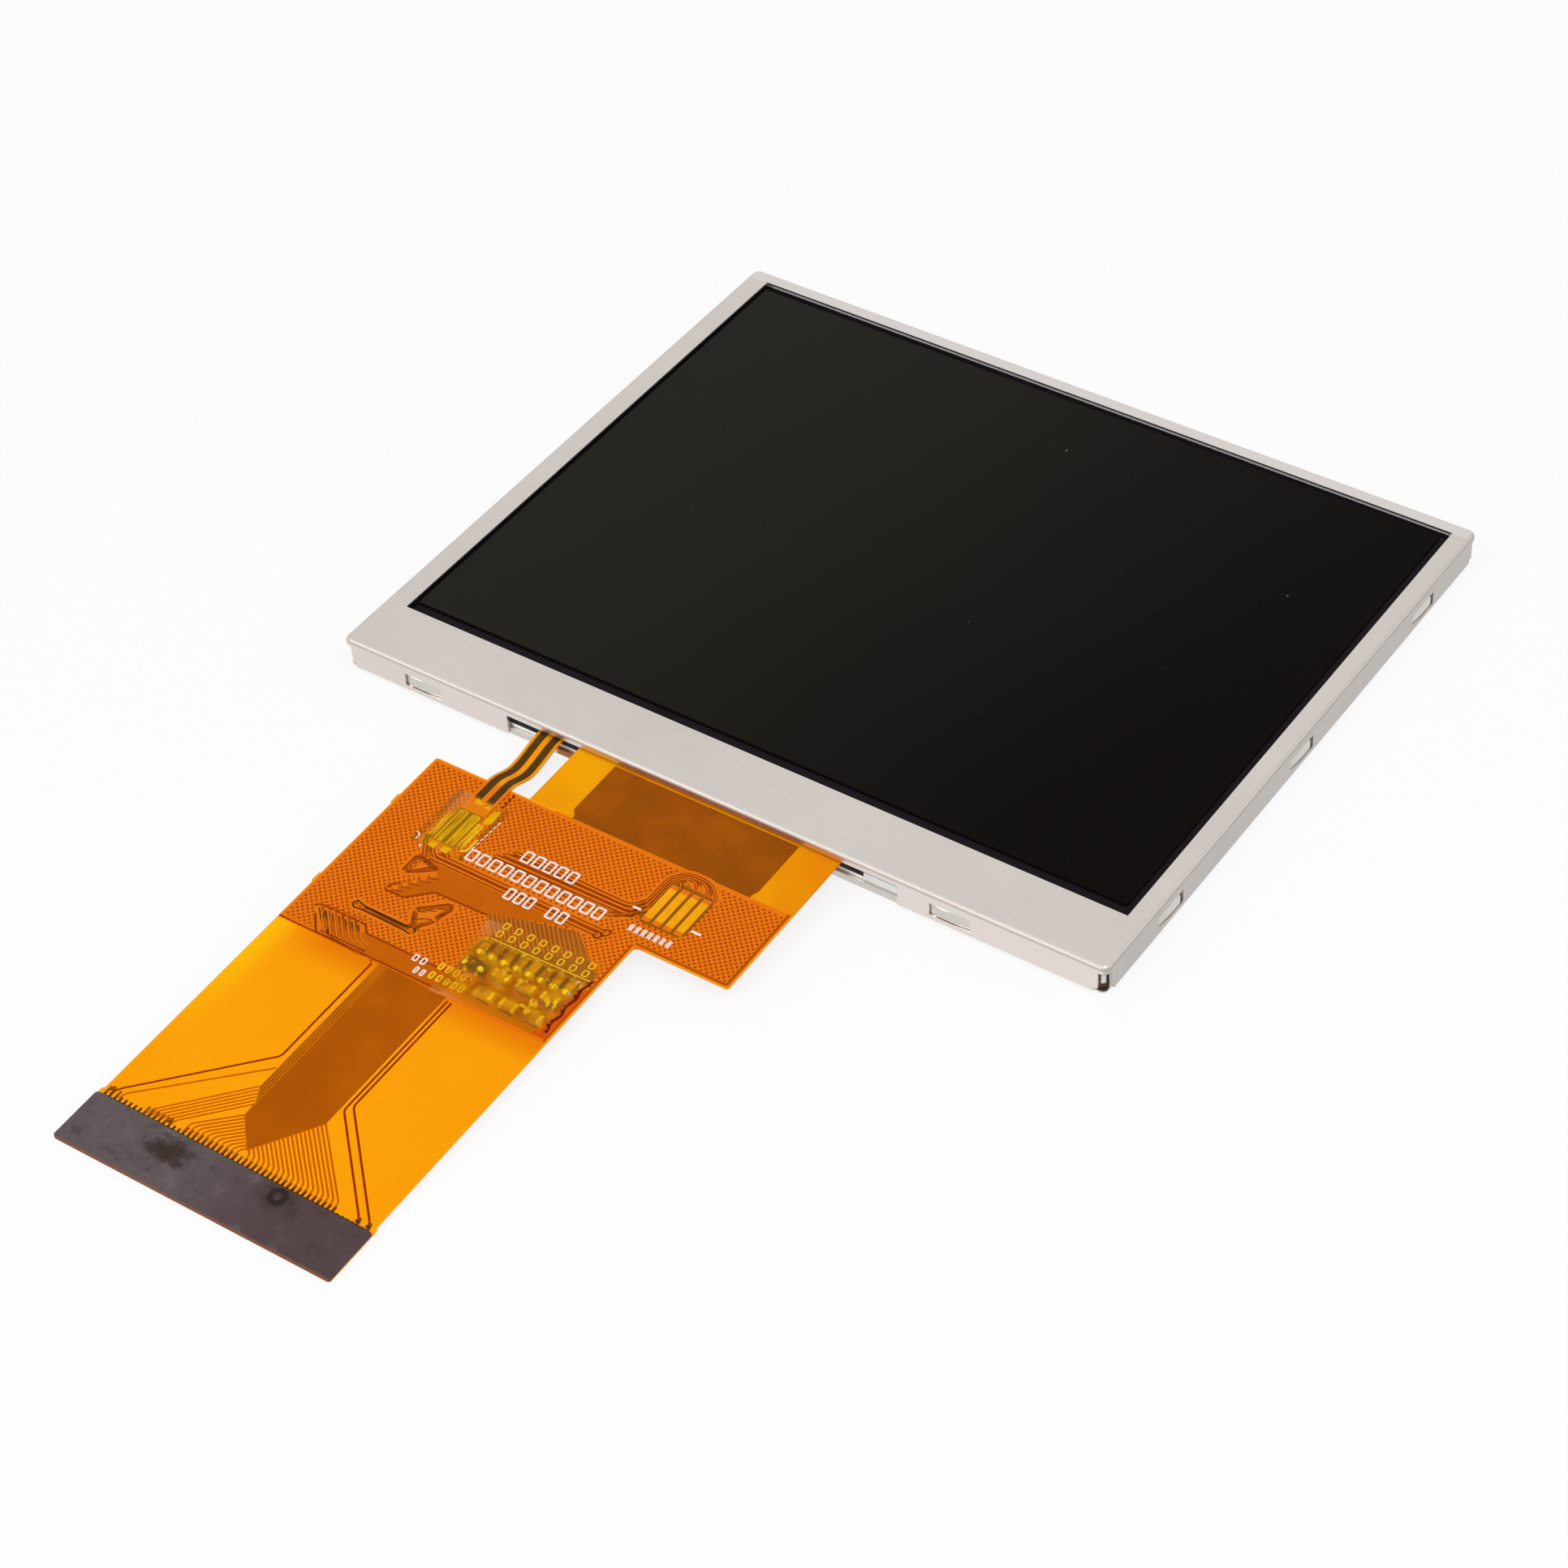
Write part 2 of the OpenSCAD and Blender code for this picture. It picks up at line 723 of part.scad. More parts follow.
// children are drawn in the flex's own plane, with its underside at z = 0
module on_flex() {
    translate([0, hinge_y, flex_z])
        rotate([droop, 0, 0])
            children();
}

// the film's section from the bond over the bend into the slope
module neck_section() {
    bend_y = hinge_y + hinge_r * tan(droop / 2);
    steps = 4;
    under = concat(
        [[flex_start, flex_z, 0]],
        [for (i = [0:steps])
            [bend_y - hinge_r * sin(droop * i / steps),
             flex_z - hinge_r * (1 - cos(droop * i / steps)),
             droop * i / steps]],
        [[hinge_y - cos(droop), flex_z - sin(droop), droop]]
    );
    polygon(ribbon(under, flex_t));
}

module field_outline() {
    near = on_plane(field_near);
    rounded([film_left, neck_right], [on_plane(lobe_far), near], film_r);
    rounded([film_left, film_right], [on_plane(field_far), near], film_r);
    // inner corner beside the lobe
    translate([film_right, on_plane(lobe_far)])
        difference() {
            translate([-inner_r, -inner_r])
                square([2 * inner_r, 2 * inner_r]);
            translate([inner_r, -inner_r])
                circle(inner_r);
        }
    // stubs that held the film in its sheet
    for (distance = bump_places)
        rounded([film_left - bump_out, film_left + bump_l], around(on_plane(distance), bump_l),
                bump_out / 2);
}

module film_outline() {
    field_outline();
    translate([neck_left, on_plane(field_near + film_r)])
        square([neck_right - neck_left, field_near + film_r + hinge_in - neck_overlap]);
    rounded([film_left, film_right], [-flex_l, on_plane(field_far - tail_overlap)], film_r);
    rounded([tail_left, tail_right], [-flex_l, -flex_l + contact_end_l], film_r);
}

module main_flex() {
    color([0.88, 0.50, 0.08])
        union() {
            along_x([neck_left, neck_right])
                neck_section();
            on_flex() {
                linear_extrude(flex_t)
                    film_outline();
                linear_extrude(field_top)
                    field_outline();
            }
        }
}

module stiffener() {
    color([0.33, 0.29, 0.31])
        on_flex()
            translate([0, 0, flex_t])
                linear_extrude(stiffener_t)
                    rounded([tail_left, tail_right], [-flex_l, -flex_l + stiffener_l], film_r);
}

module tail_contacts() {
    color([0.85, 0.68, 0.30])
        on_flex()
            for (i = [0:contact_count - 1])
                translate([tail_left + (i + 1) * contact_pitch - finger_w / 2, finger_end - flex_l,
                           -finger_t])
                    cube([finger_w, finger_l, finger_t]);
}

module touch_pads() {
    color([0.90, 0.75, 0.35])
        on_flex()
            for (i = [0:3])
                slab(around(pads_x + i * pad_pitch, pad_w),
                     [on_plane(pads_near + pad_l), on_plane(pads_near)],
                     [field_top, field_top + copper_t]);
}

module led_pads() {
    end = on_plane(strip_reach - strip_pad_end);
    color([0.90, 0.75, 0.35])
        on_flex()
            for (s = [-1, 1])
                slab(around(strip_x + s * strip_pad_x, strip_pad_w),
                     [end, end + strip_pad_l],
                     [field_top + strip_t, field_top + joint_h]);
}

// a low bead of solder along each edge of the strip's end
module led_solder() {
    near = on_plane(strip_reach - solder_end);
    color([0.78, 0.77, 0.72])
        on_flex()
            for (s = [-1, 1])
                translate([strip_x + s * strip_half, near, field_top])
                    intersection() {
                        slab(s > 0 ? [0, solder_w] : [-solder_w, 0], [0, solder_l], [0, joint_h]);
                        translate([0, 0, joint_h - solder_r])
                            rotate([-90, 0, 0])
                                cylinder(r = solder_r, h = solder_l);
                    }
}

module joint_tape() {
    x = around(strip_x, joint_tape_w);
    m = joint_tape_margin;
    top = m + joint_tape_rise;
    far = on_plane(strip_reach + joint_tape_past);
    stations = [
        [x[0], 0, 0], [x[0] + m, 0, 0], [x[0] + top, joint_h, 0],
        [x[1] - top, joint_h, 0], [x[1] - m, 0, 0], [x[1], 0, 0]
    ];
    color([0.95, 0.70, 0.20, 0.5])
        on_flex()
            translate([0, 0, field_top])
                along_y([far, far + joint_tape_l])
                    polygon(ribbon(way(stations, 4), tape_t));
}

// places of the capacitors: children see one that lies along Y, at the middle of its foot
module at_capacitors() {
    for (i = [0:cap_count - 1])
        translate([row_right - i * cap_pitch, on_plane(row_near + cap_l / 2), field_top])
            children();
    for (i = [0:2], near = [low_near_1, low_near_2])
        translate([low_right - i * low_pitch, on_plane(near + cap_w / 2), field_top])
            rotate([0, 0, 90])
                children();
}

module capacitor_bodies() {
    color([0.62, 0.48, 0.33])
        on_flex()
            at_capacitors()
                slab(around(0, cap_w - 2 * cap_skin), around(0, cap_l - 2 * cap_end_l),
                     [cap_skin, cap_h - cap_skin]);
}

module capacitor_ends() {
    color([0.82, 0.80, 0.76])
        on_flex()
            at_capacitors()
                for (s = [-1, 1])
                    slab(around(0, cap_w), around(s * (cap_l - cap_end_l) / 2, cap_end_l), [0, cap_h]);
}

// the diode's place, in line with the first low row
module at_diode() {
    on_flex()
        translate([low_right - 3 * low_pitch - diode_past, on_plane(low_near_1 + cap_w / 2), field_top])
            children();
}

module diode_body() {
    color([0.12, 0.11, 0.10])
        at_diode()
            slab(around(0, diode_l), around(0, diode_w), [diode_lift, diode_h]);
}

// one gull-wing lead, from the body's side down to its pad
module lead() {
    translate([0, -diode_w / 2, 0])
        along_x(around(0, lead_w))
            polygon([
                [0, lead_z],
                [0, lead_z + lead_t],
                [-lead_out / 2 - lead_t / 2, lead_z + lead_t],
                [-lead_out / 2 - lead_t / 2, lead_t],
                [-lead_out, lead_t],
                [-lead_out, 0],
                [-lead_out / 2 + lead_t / 2, 0],
                [-lead_out / 2 + lead_t / 2, lead_z]
            ]);
}

module diode_leads() {
    color([0.82, 0.80, 0.76])
        at_diode() {
            for (s = [-1, 1])
                translate([s * (diode_l - lead_w) / 2, 0, 0])
                    lead();
            rotate([0, 0, 180])
                lead();
        }
}

// what lies under a film that falls over the parts, lifted by t
module under_tape(t) {
    near = row_near - parts_tape_fall - parts_tape_near;
    far = low_far + parts_tape_fall + parts_tape_far;
    along = [
        [near, 0], [row_near - parts_tape_fall, 0], [row_near, cap_h],
        [row_near + cap_l, cap_h], [low_near_1, cap_h],
        [low_near_1 + cap_w + parts_tape_hold, cap_h],
        [(low_near_1 + cap_w + low_near_2) / 2, cap_h - parts_tape_dip],
        [low_near_2, cap_h], [low_far, cap_h], [low_far + parts_tape_fall, 0], [far, 0]
    ];
    across = [
        [parts_tape_x[0], 0], [parts_tape_x[0] + parts_tape_left, 0],
        [row_left, cap_h], [row_right + cap_w / 2, cap_h],
        [parts_tape_x[1] - tape_t, 0], [parts_tape_x[1], 0]
    ];
    intersection() {
        along_x(parts_tape_x)
            under_way([for (p = along) [on_plane(p[0]), p[1] + t, 0]]);
        along_y([on_plane(far), on_plane(near)])
            under_way([for (p = across) [p[0], p[1] + t, 0]]);
    }
}

// section between a way and a level under it
module under_way(stations) {
    first = stations[0];
    last = stations[len(stations) - 1];
    polygon(concat(
        [for (q = way(stations, 4)) [q[0], q[1]]],
        [[last[0], -past], [first[0], -past]]
    ));
}

module parts_tape() {
    color([0.95, 0.70, 0.20, 0.5])
        on_flex()
            translate([0, 0, field_top])
                difference() {
                    under_tape(tape_t);
                    under_tape(0);
                    slab(parts_tape_x + [-past, past], [-flex_l, 0], [-2 * past, 0]);
                }
}

front_bezel();
back_pan();
mould_frame();
well_plate(pan_sheet, reflector_t, [0.97, 0.97, 0.97]);  // reflector_film
well_plate(guide_z, guide_t, [0.85, 0.92, 0.95]);  // light_guide
well_plate(films_z, film_t, [0.96, 0.96, 0.94]);  // diffuser_film
well_plate(films_z + film_t, film_t, [0.88, 0.90, 0.92]);  // lower_prism_film
well_plate(films_z + 2 * film_t, film_t, [0.82, 0.85, 0.88]);  // upper_prism_film
leds();
led_flex();
rim_tape();
polariser(0, 0, lower_pol_z, lower_pol_t, [0.25, 0.25, 0.24]);  // lower_polariser
tft_glass();
colour_filter_glass();
polariser(upper_pol_x, upper_pol_y, upper_pol_z, upper_pol_t, [0.10, 0.09, 0.08]);  // upper_polariser
driver_chip();
flex_bond();
main_flex();
stiffener();
tail_contacts();
touch_pads();
led_pads();
led_solder();
joint_tape();
capacitor_bodies();
capacitor_ends();
diode_body();
diode_leads();
parts_tape();
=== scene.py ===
"""Looks for a TFT display module and its flexible circuits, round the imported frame."""
import math
from collections import namedtuple

import bpy
import numpy as np
from mathutils import Matrix, Vector


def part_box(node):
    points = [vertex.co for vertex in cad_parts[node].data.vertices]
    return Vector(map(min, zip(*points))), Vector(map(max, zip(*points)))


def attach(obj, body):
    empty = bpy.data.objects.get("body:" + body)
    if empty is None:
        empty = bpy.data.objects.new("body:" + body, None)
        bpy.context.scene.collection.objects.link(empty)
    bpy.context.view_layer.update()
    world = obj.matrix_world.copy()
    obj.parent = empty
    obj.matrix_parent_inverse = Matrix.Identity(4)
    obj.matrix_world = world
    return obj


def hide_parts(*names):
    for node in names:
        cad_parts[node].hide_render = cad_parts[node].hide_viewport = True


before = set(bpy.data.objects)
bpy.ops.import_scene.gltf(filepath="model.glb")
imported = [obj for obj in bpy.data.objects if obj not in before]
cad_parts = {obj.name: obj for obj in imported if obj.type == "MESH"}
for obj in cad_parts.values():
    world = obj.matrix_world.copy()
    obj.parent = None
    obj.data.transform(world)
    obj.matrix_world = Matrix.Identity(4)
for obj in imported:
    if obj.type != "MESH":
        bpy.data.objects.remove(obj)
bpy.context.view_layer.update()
MM = .001
ONE_BODY = "root"
scene = bpy.context.scene

# ---------------------------------------------------------------- places, in millimetres

Corners = namedtuple("Corners", "low high")


def corners(node):
    """Lowest and highest corner of a CAD node."""
    return Corners(*[np.array(corner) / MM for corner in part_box(node)])


module = corners("front_bezel")
flex = corners("main_flex")
pads = corners("touch_pads")
stiffener = corners("stiffener")
joint = corners("led_pads")
wrap = corners("joint_tape")
ends = corners("capacitor_ends")
diode = corners("diode_body")
window = corners("upper_polariser")

FRONT = module.low[1]
TOP = module.high[2]
HALF_W = module.high[0]
HALF_D = module.high[1]
TAIL_END = flex.low[1]
STRIP_X = (joint.low[0] + joint.high[0]) / 2

# the main flex is a single film, thicker in the field, and the stiffener stands out beside its tail
FILM_T = .12
FIELD_TOP = .16
STRIP_T = .1
NECK_L = 7
LOBE_L = 9.2
FIELD_L = 21.3
FIELD_NEAR = FRONT - NECK_L
LOBE_FAR = FIELD_NEAR - LOBE_L
FIELD_FAR = FIELD_NEAR - FIELD_L
STIFFENER_OUT = .2
FILM_LEFT = flex.low[0] + STIFFENER_OUT
FILM_RIGHT = stiffener.high[0] - STIFFENER_OUT
LOBE_RIGHT = flex.high[0]

# it slopes down from the glass, and the touch pads' box gives the slope
HINGE_Y = FRONT + .75
FLEX_Z = corners("flex_bond").high[2]
PAD_L = 4.5
COPPER_T = .02
DROOP = math.asin((pads.high[2] - pads.low[2] - COPPER_T) / PAD_L)


def film_z(y, lift=0.0):
    """Height of a surface that lies lift above the film's underside, at the depth y."""
    return FLEX_Z - (HINGE_Y - y) * math.tan(DROOP) + lift / math.cos(DROOP)


# ---------------------------------------------------------------- shader kit


def linear(red, green, blue):
    """A colour in 0 to 255 as seen on a screen, turned to the linear values that shaders take."""
    c = np.array([red, green, blue]) / 255
    c = np.where(c <= .04045, c / 12.92, ((c + .055) / 1.055) ** 2.4)
    return (*c.tolist(), 1.0)


class Wire:
    """A shader socket. The operators on it add Math nodes."""

    def __init__(self, nodes, socket):
        self.nodes = nodes
        self.socket = socket

    def maths(self, operation, *values):
        """A Math node on wires or numbers."""
        return self.nodes.node("ShaderNodeMath", {"operation": operation}, dict(enumerate(values)))

    def __add__(self, other):
        return self.maths("ADD", self, other)

    def __radd__(self, other):
        return self.maths("ADD", other, self)

    def __sub__(self, other):
        return self.maths("SUBTRACT", self, other)

    def __rsub__(self, other):
        return self.maths("SUBTRACT", other, self)

    def __mul__(self, other):
        return self.maths("MULTIPLY", self, other)

    def __rmul__(self, other):
        return self.maths("MULTIPLY", other, self)

    def __truediv__(self, other):
        return self.maths("DIVIDE", self, other)

    def __pow__(self, other):
        return self.maths("POWER", self, other)

    def cos(self):
        return self.maths("COSINE", self)

    def abs(self):
        return self.maths("ABSOLUTE", self)

    def root(self):
        return self.maths("SQRT", self)

    def least(self, other):
        return self.maths("MINIMUM", self, other)

    def most(self, other):
        return self.maths("MAXIMUM", self, other)

    def ramp(self, low, high):
        """0 below low, 1 above high and smooth between; the other way round where high is lower."""
        if high < low:
            return 1 - self.ramp(high, low)
        return self.nodes.node("ShaderNodeMapRange", {"interpolation_type": "SMOOTHSTEP"},
                               {"Value": self, "From Min": low, "From Max": high})

    def within(self, low, high, soft):
        """1 between low and high, with edges that are soft wide."""
        return self.ramp(low - soft, low) * self.ramp(high + soft, high)


def away(x, y, spot, wide=1.0, deep=1.0):
    """Distance from a spot: the root of dX squared times wide plus dY squared times deep."""
    return ((x - spot[0]) ** 2 * wide + (y - spot[1]) ** 2 * deep).root()


class Nodes:
    """A node tree, with one method that adds every kind of node."""

    def __init__(self, tree):
        self.tree = tree

    def plug(self, socket, value):
        """Links a wire to a socket, or writes a value in it."""
        if isinstance(value, Wire):
            self.tree.links.new(value.socket, socket)
        else:
            socket.default_value = value

    def node(self, kind, settings=None, sockets=None, out=0):
        """Adds a node: settings first, then values or wires on its sockets; gives the named output."""
        node = self.tree.nodes.new(kind)
        for key, value in (settings or {}).items():
            setattr(node, key, value)
        for key, value in (sockets or {}).items():
            self.plug(node.inputs[key], value)
        return Wire(self, node.outputs[out])

    def direct(self):
        """1 on rays that come from the camera straight, by a reflection or through a clear film."""
        rays = self.tree.nodes.new("ShaderNodeLightPath")
        straight, glossy, through = [Wire(self, rays.outputs[f"Is {kind} Ray"])
                                     for kind in ("Camera", "Glossy", "Transmission")]
        return straight.most(glossy).most(through)


class Finish(Nodes):
    """A material with a Principled shader, worked out on the object's own coordinates."""

    def __init__(self, name, metallic=0.0, gloss=.5):
        self.material = bpy.data.materials.new(name)
        self.material.use_nodes = True
        super().__init__(self.material.node_tree)
        self.shader = self.tree.nodes["Principled BSDF"]
        self.set(Metallic=metallic, Specular_IOR_Level=gloss)
        coordinates = self.tree.nodes.new("ShaderNodeTexCoord")
        self.place = Wire(self, coordinates.outputs["Object"])

    def set(self, **sockets):
        """Values or wires on the shader's own sockets."""
        for key, value in sockets.items():
            self.plug(self.shader.inputs[key.replace("_", " ")], value)
        return self

    def axes(self):
        """X, Y and Z of the object's own coordinates, in millimetres."""
        parts = self.tree.nodes.new("ShaderNodeSeparateXYZ")
        self.tree.links.new(self.place.socket, parts.inputs[0])
        return [Wire(self, parts.outputs[i]) * 1000 for i in range(3)]

    def mix(self, mask, first, second):
        """The first colour where the mask is 0 and the second where it is 1. Each is a wire, or three
        numbers in 0 to 255."""
        first, second = [tone if isinstance(tone, Wire) else linear(*tone) for tone in (first, second)]
        return self.node("ShaderNodeMix", {"data_type": "RGBA"}, {0: mask, 6: first, 7: second}, 2)

    def stretched(self, *scale):
        """Object coordinates in millimetres, each axis times its own scale."""
        return self.node("ShaderNodeMapping", None,
                         {"Vector": self.place, "Scale": tuple(s * 1000 for s in scale)})

    def noise(self, *scale, detail=3.0, rough=.5):
        """Noise about 0.5 whose grains are 1 / scale millimetres on each axis."""
        scale = scale if len(scale) == 3 else scale * 3
        return self.node("ShaderNodeTexNoise", None,
                         {"Vector": self.stretched(*scale), "Scale": 1.0, "Detail": detail,
                          "Roughness": rough})

    def cells(self, scale):
        """Distance from the nearest of points that are scattered about 1 / scale millimetres apart."""
        return self.node("ShaderNodeTexVoronoi", {"feature": "F1"},
                         {"Vector": self.stretched(scale, scale, scale), "Scale": 1.0}, "Distance")

    def bump(self, height, depth, strength=1.0):
        """Normals of a relief of the given height times depth millimetres."""
        return self.node("ShaderNodeBump", None,
                         {"Strength": strength, "Distance": depth * MM, "Height": height})

    def dress(self, *nodes):
        """Puts this material on CAD nodes' slots."""
        for name in nodes:
            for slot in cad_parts[name].material_slots:
                slot.material = self.material


def two_tone(name, low, high, grain, rough, spread, rough_grain, detail=3.0, metallic=0.0, gloss=.5):
    """A finish of two tones mixed by noise; a second noise adds up to spread to its roughness."""
    finish = Finish(name, metallic, gloss)
    return finish.set(Base_Color=finish.mix(finish.noise(grain, detail=detail), low, high),
                      Roughness=rough + finish.noise(rough_grain) * spread)


# ---------------------------------------------------------------- meshes: vertices, and arrays of faces


def add_mesh(name, vertices, faces, finish, slot, smooth=False):
    """A new piece from vertices in millimetres and arrays with one row per face; it rides on the
    body and takes the finish."""
    mesh = bpy.data.meshes.new(name)
    mesh.from_pydata((vertices * MM).tolist(), [], [row for rows in faces for row in rows.tolist()])
    mesh.polygons.foreach_set("use_smooth", np.full(len(mesh.polygons), smooth))
    mesh.materials.append(finish.material)
    mesh.update()
    piece = bpy.data.objects.new(name, mesh)
    scene.collection.objects.link(piece)
    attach(piece, ONE_BODY)
    return piece


def printed(name, finish, shapes, slot="amber_film"):
    """One new piece from many flat shapes: their vertices end to end, their faces counted on."""
    starts = np.cumsum([0] + [len(vertices) for vertices, _ in shapes])
    faces = [rows + start for start, (_, groups) in zip(starts, shapes) for rows in groups]
    add_mesh(name, np.concatenate([vertices for vertices, _ in shapes]), faces, finish, slot)


def eased(points, radius):
    """A path whose corners are eased: each becomes a quadratic Bezier curve between the points
    that lie radius before and after it, (1-t)^2 A + 2t(1-t) C + t^2 B."""
    if len(points) < 3:
        return points
    corner = points[1:-1]
    back = points[:-2] - corner
    on = points[2:] - corner
    back_l = np.linalg.norm(back, axis=1, keepdims=True)
    on_l = np.linalg.norm(on, axis=1, keepdims=True)
    reach = np.minimum(radius, np.minimum(back_l, on_l) / 2)
    a = (corner + back / back_l * reach)[:, None]
    b = (corner + on / on_l * reach)[:, None]
    t = np.linspace(0, 1, 6)[None, :, None]
    curve = (1 - t) ** 2 * a + 2 * t * (1 - t) * corner[:, None] + t ** 2 * b
    return np.concatenate([points[:1], curve.reshape(-1, 2), points[-1:]])


def side_steps(path, joined):
    """For each point of a path, the step to the left that keeps a ribbon's width through corners:
    the sum of the two neighbours' unit normals n and m over 1 + n.m."""
    step = (np.roll(path, -1, axis=0) - path) if joined else np.diff(path, axis=0)
    step /= np.linalg.norm(step, axis=1, keepdims=True)
    normal = np.stack([-step[:, 1], step[:, 0]], axis=1)
    before = np.roll(normal, 1, axis=0) if joined else np.concatenate([normal[:1], normal])
    after = normal if joined else np.concatenate([normal, normal[-1:]])
    return (before + after) / (1 + (before * after).sum(axis=1, keepdims=True))


def track(points, width, low, high, radius, joined):
    """A closed flat ribbon: a four-cornered section from low up to high over the film, carried
    along the eased path, which runs back to its start where it is joined."""
    if joined:
        middle = (points[:1] + points[-1:]) / 2
        path = eased(np.concatenate([middle, points, middle]), radius)[:-1]
    else:
        path = eased(points, radius)
    side = side_steps(path, joined) * width
    rows = []
    for reach, lift in ((.5, low), (.46, high), (-.46, high), (-.5, low)):
        xy = path + side * reach
        rows.append(np.column_stack([xy, film_z(xy[:, 1], lift)]))
    vertices = np.stack(rows, axis=1).reshape(-1, 3)
    n = len(path)
    i = np.arange(n if joined else n - 1)[:, None] * 4
    k = np.arange(4)[None, :]
    after = (i + 4) % (4 * n)
    sides = np.stack([i + k, i + (k + 1) % 4, after + (k + 1) % 4, after + k], axis=2).reshape(-1, 4)
    caps = np.array([[3, 2, 1, 0], [4 * n - 4, 4 * n - 3, 4 * n - 2, 4 * n - 1]])
    return vertices, [sides] if joined else [sides, caps]


def plate(outline, low, high):
    """A flat plate with the given outline, from low up to high over the film. The shoelace sum of
    its outline says which way its faces turn."""
    x, y = outline.T
    n = len(outline)
    under = np.column_stack([outline, film_z(y, low)])
    over = np.column_stack([outline, film_z(y, high)])
    i = np.arange(n)
    on = (i + 1) % n
    faces = [np.stack([i, on, n + on, n + i], axis=1), i[None, ::-1], n + i[None, :]]
    if np.sum(x * np.roll(y, -1) - np.roll(x, -1) * y) < 0:
        faces = [rows[:, ::-1] for rows in faces]
    return np.concatenate([under, over]), faces


def circle(x, y, radius, count=14):
    """Points on a circle: the centre plus radius times cosine and sine of even angles."""
    angle = np.linspace(0, 2 * math.pi, count, endpoint=False)
    return np.column_stack([x + radius * np.cos(angle), y + radius * np.sin(angle)])


# ---------------------------------------------------------------- finishes of the module


def bezel_steel():
    """Satin stainless sheet: faint drawing streaks and a cloudy patina, with painted light and shade: a
    lighter front wall and back band, a darker right wall, and folds painted darker to dim their highlight.
    """
    steel = Finish("bezel_steel", metallic=1.0)
    x, y, z = steel.axes()
    streaks = steel.noise(.06, 6, 6, detail=4)
    tone = streaks * .35 + steel.noise(.09, detail=2) * .65
    wall = z.ramp(TOP - .3, TOP - .45)
    fold = (x.abs() - HALF_W).most(y.abs() - HALF_D).ramp(-.36, -.22) * z.ramp(TOP - .42, TOP - .3)
    # painted light and shade: the front wall lighter and fading to the right, the right wall darker, the
    # folds darker to dim their highlight
    lit_front_wall = steel.mix(tone + x / 90, (222, 213, 208), (230, 221, 216))
    shaded_right_wall = steel.mix(tone, (176, 170, 165), (198, 193, 188))
    shaded_fold_tone = steel.mix(x.ramp(HALF_W - .6, HALF_W - .3), (194, 186, 180), (176, 170, 166))
    face = steel.mix(tone, (194, 187, 181), (214, 207, 202))
    # painted light: lighter along the back edge
    face = steel.mix(y.ramp(HALF_D - 1.6, HALF_D - 1.3), face, (213, 207, 204))
    face = steel.mix(wall * y.ramp(FRONT + .5, FRONT + .2), face, lit_front_wall)
    face = steel.mix(wall * x.ramp(HALF_W - .5, HALF_W - .2), face, shaded_right_wall)
    return steel.set(Base_Color=steel.mix(fold, face, shaded_fold_tone), Roughness=.27 + tone * .16 + fold * .16,
                     Normal=steel.bump(streaks + steel.noise(1.6, detail=2) * .6, .012, .35))


# x ranges of the painted amber reflection on the pan's lip, by the strip and by the neck
LIP_BY_STRIP = (-15.6, -13.4)
LIP_BY_NECK = (-9.4, 10.4)


def pan_steel():
    """Rolled sheet with clouds; on its low lip, a painted reflection of the amber flexes that pass over it.
    """
    pan = Finish("pan_steel", metallic=1.0)
    x, y, z = pan.axes()
    rolled = pan.noise(5, .08, 5, detail=3)
    tone = rolled * .4 + pan.noise(.05, detail=3) * .6
    lip = y.ramp(FRONT + .6, FRONT + .4) * z.ramp(.25, .35)
    # painted reflection of the amber flexes on the lip
    amber_reflection = lip * (x.within(*LIP_BY_STRIP, .25) * .95).most(x.within(*LIP_BY_NECK, .8) * .6)
    sheet = pan.mix(tone, (196, 190, 184), (226, 222, 216))
    return pan.set(Base_Color=pan.mix(amber_reflection, sheet, (164, 94, 28)),
                   Roughness=.26 + tone * .18, Normal=pan.bump(rolled, .01, .3))


NOTCH = (-21.5, 15.2)


def white_moulding():
    """White moulding: painted shadow where the flexes pass in, a painted amber reflection beside the neck,
    and painted shade in the corner reliefs.
    """
    moulded = Finish("white_moulding", gloss=.2)
    x, y, z = moulded.axes()
    in_front = y.ramp(FRONT + 1.2, FRONT + 1)
    # painted shadow where the flexes pass in under the bezel, and at the notch's left end
    passage_shadow = y.ramp(FRONT + 2.5, FRONT + 2.2) * z.ramp(FLEX_Z - .9, FLEX_Z - .8) * x.within(*NOTCH, .05)
    passage_shadow = passage_shadow.most(in_front * x.within(-23, -20.8, .3) * .85)
    # painted amber reflection of the neck on the white moulding
    neck_reflection = in_front * x.within(9.2, 10.6, 1.2)
    metal_glow = in_front * x.within(-20.4, 15, .3) * (1 - passage_shadow)
    past_x = x.abs() - HALF_W
    past_y = y.abs() - HALF_D
    corner = past_x.ramp(-1.5, -1.3) * past_y.ramp(-1.5, -1.3)
    aslant = (past_x - past_y).abs().ramp(.2, .4)
    # painted shade in the corner reliefs
    corner_shade = corner * z.ramp(1.05, .85).most(z.ramp(1.75, 1.95)).most(aslant)
    white = moulded.mix(moulded.noise(.4, detail=2), (246, 246, 245), (255, 255, 254))
    white = moulded.mix(neck_reflection * .8, white, (240, 186, 60))
    white = moulded.mix(corner_shade, white, (86, 58, 44))
    return moulded.set(Base_Color=moulded.mix(passage_shadow, white, (14, 6, 4)), Metallic=metal_glow * .7,
                       Roughness=.42 + moulded.noise(3) * .15,
                       Normal=moulded.bump(moulded.noise(14, detail=2), .01, .4))


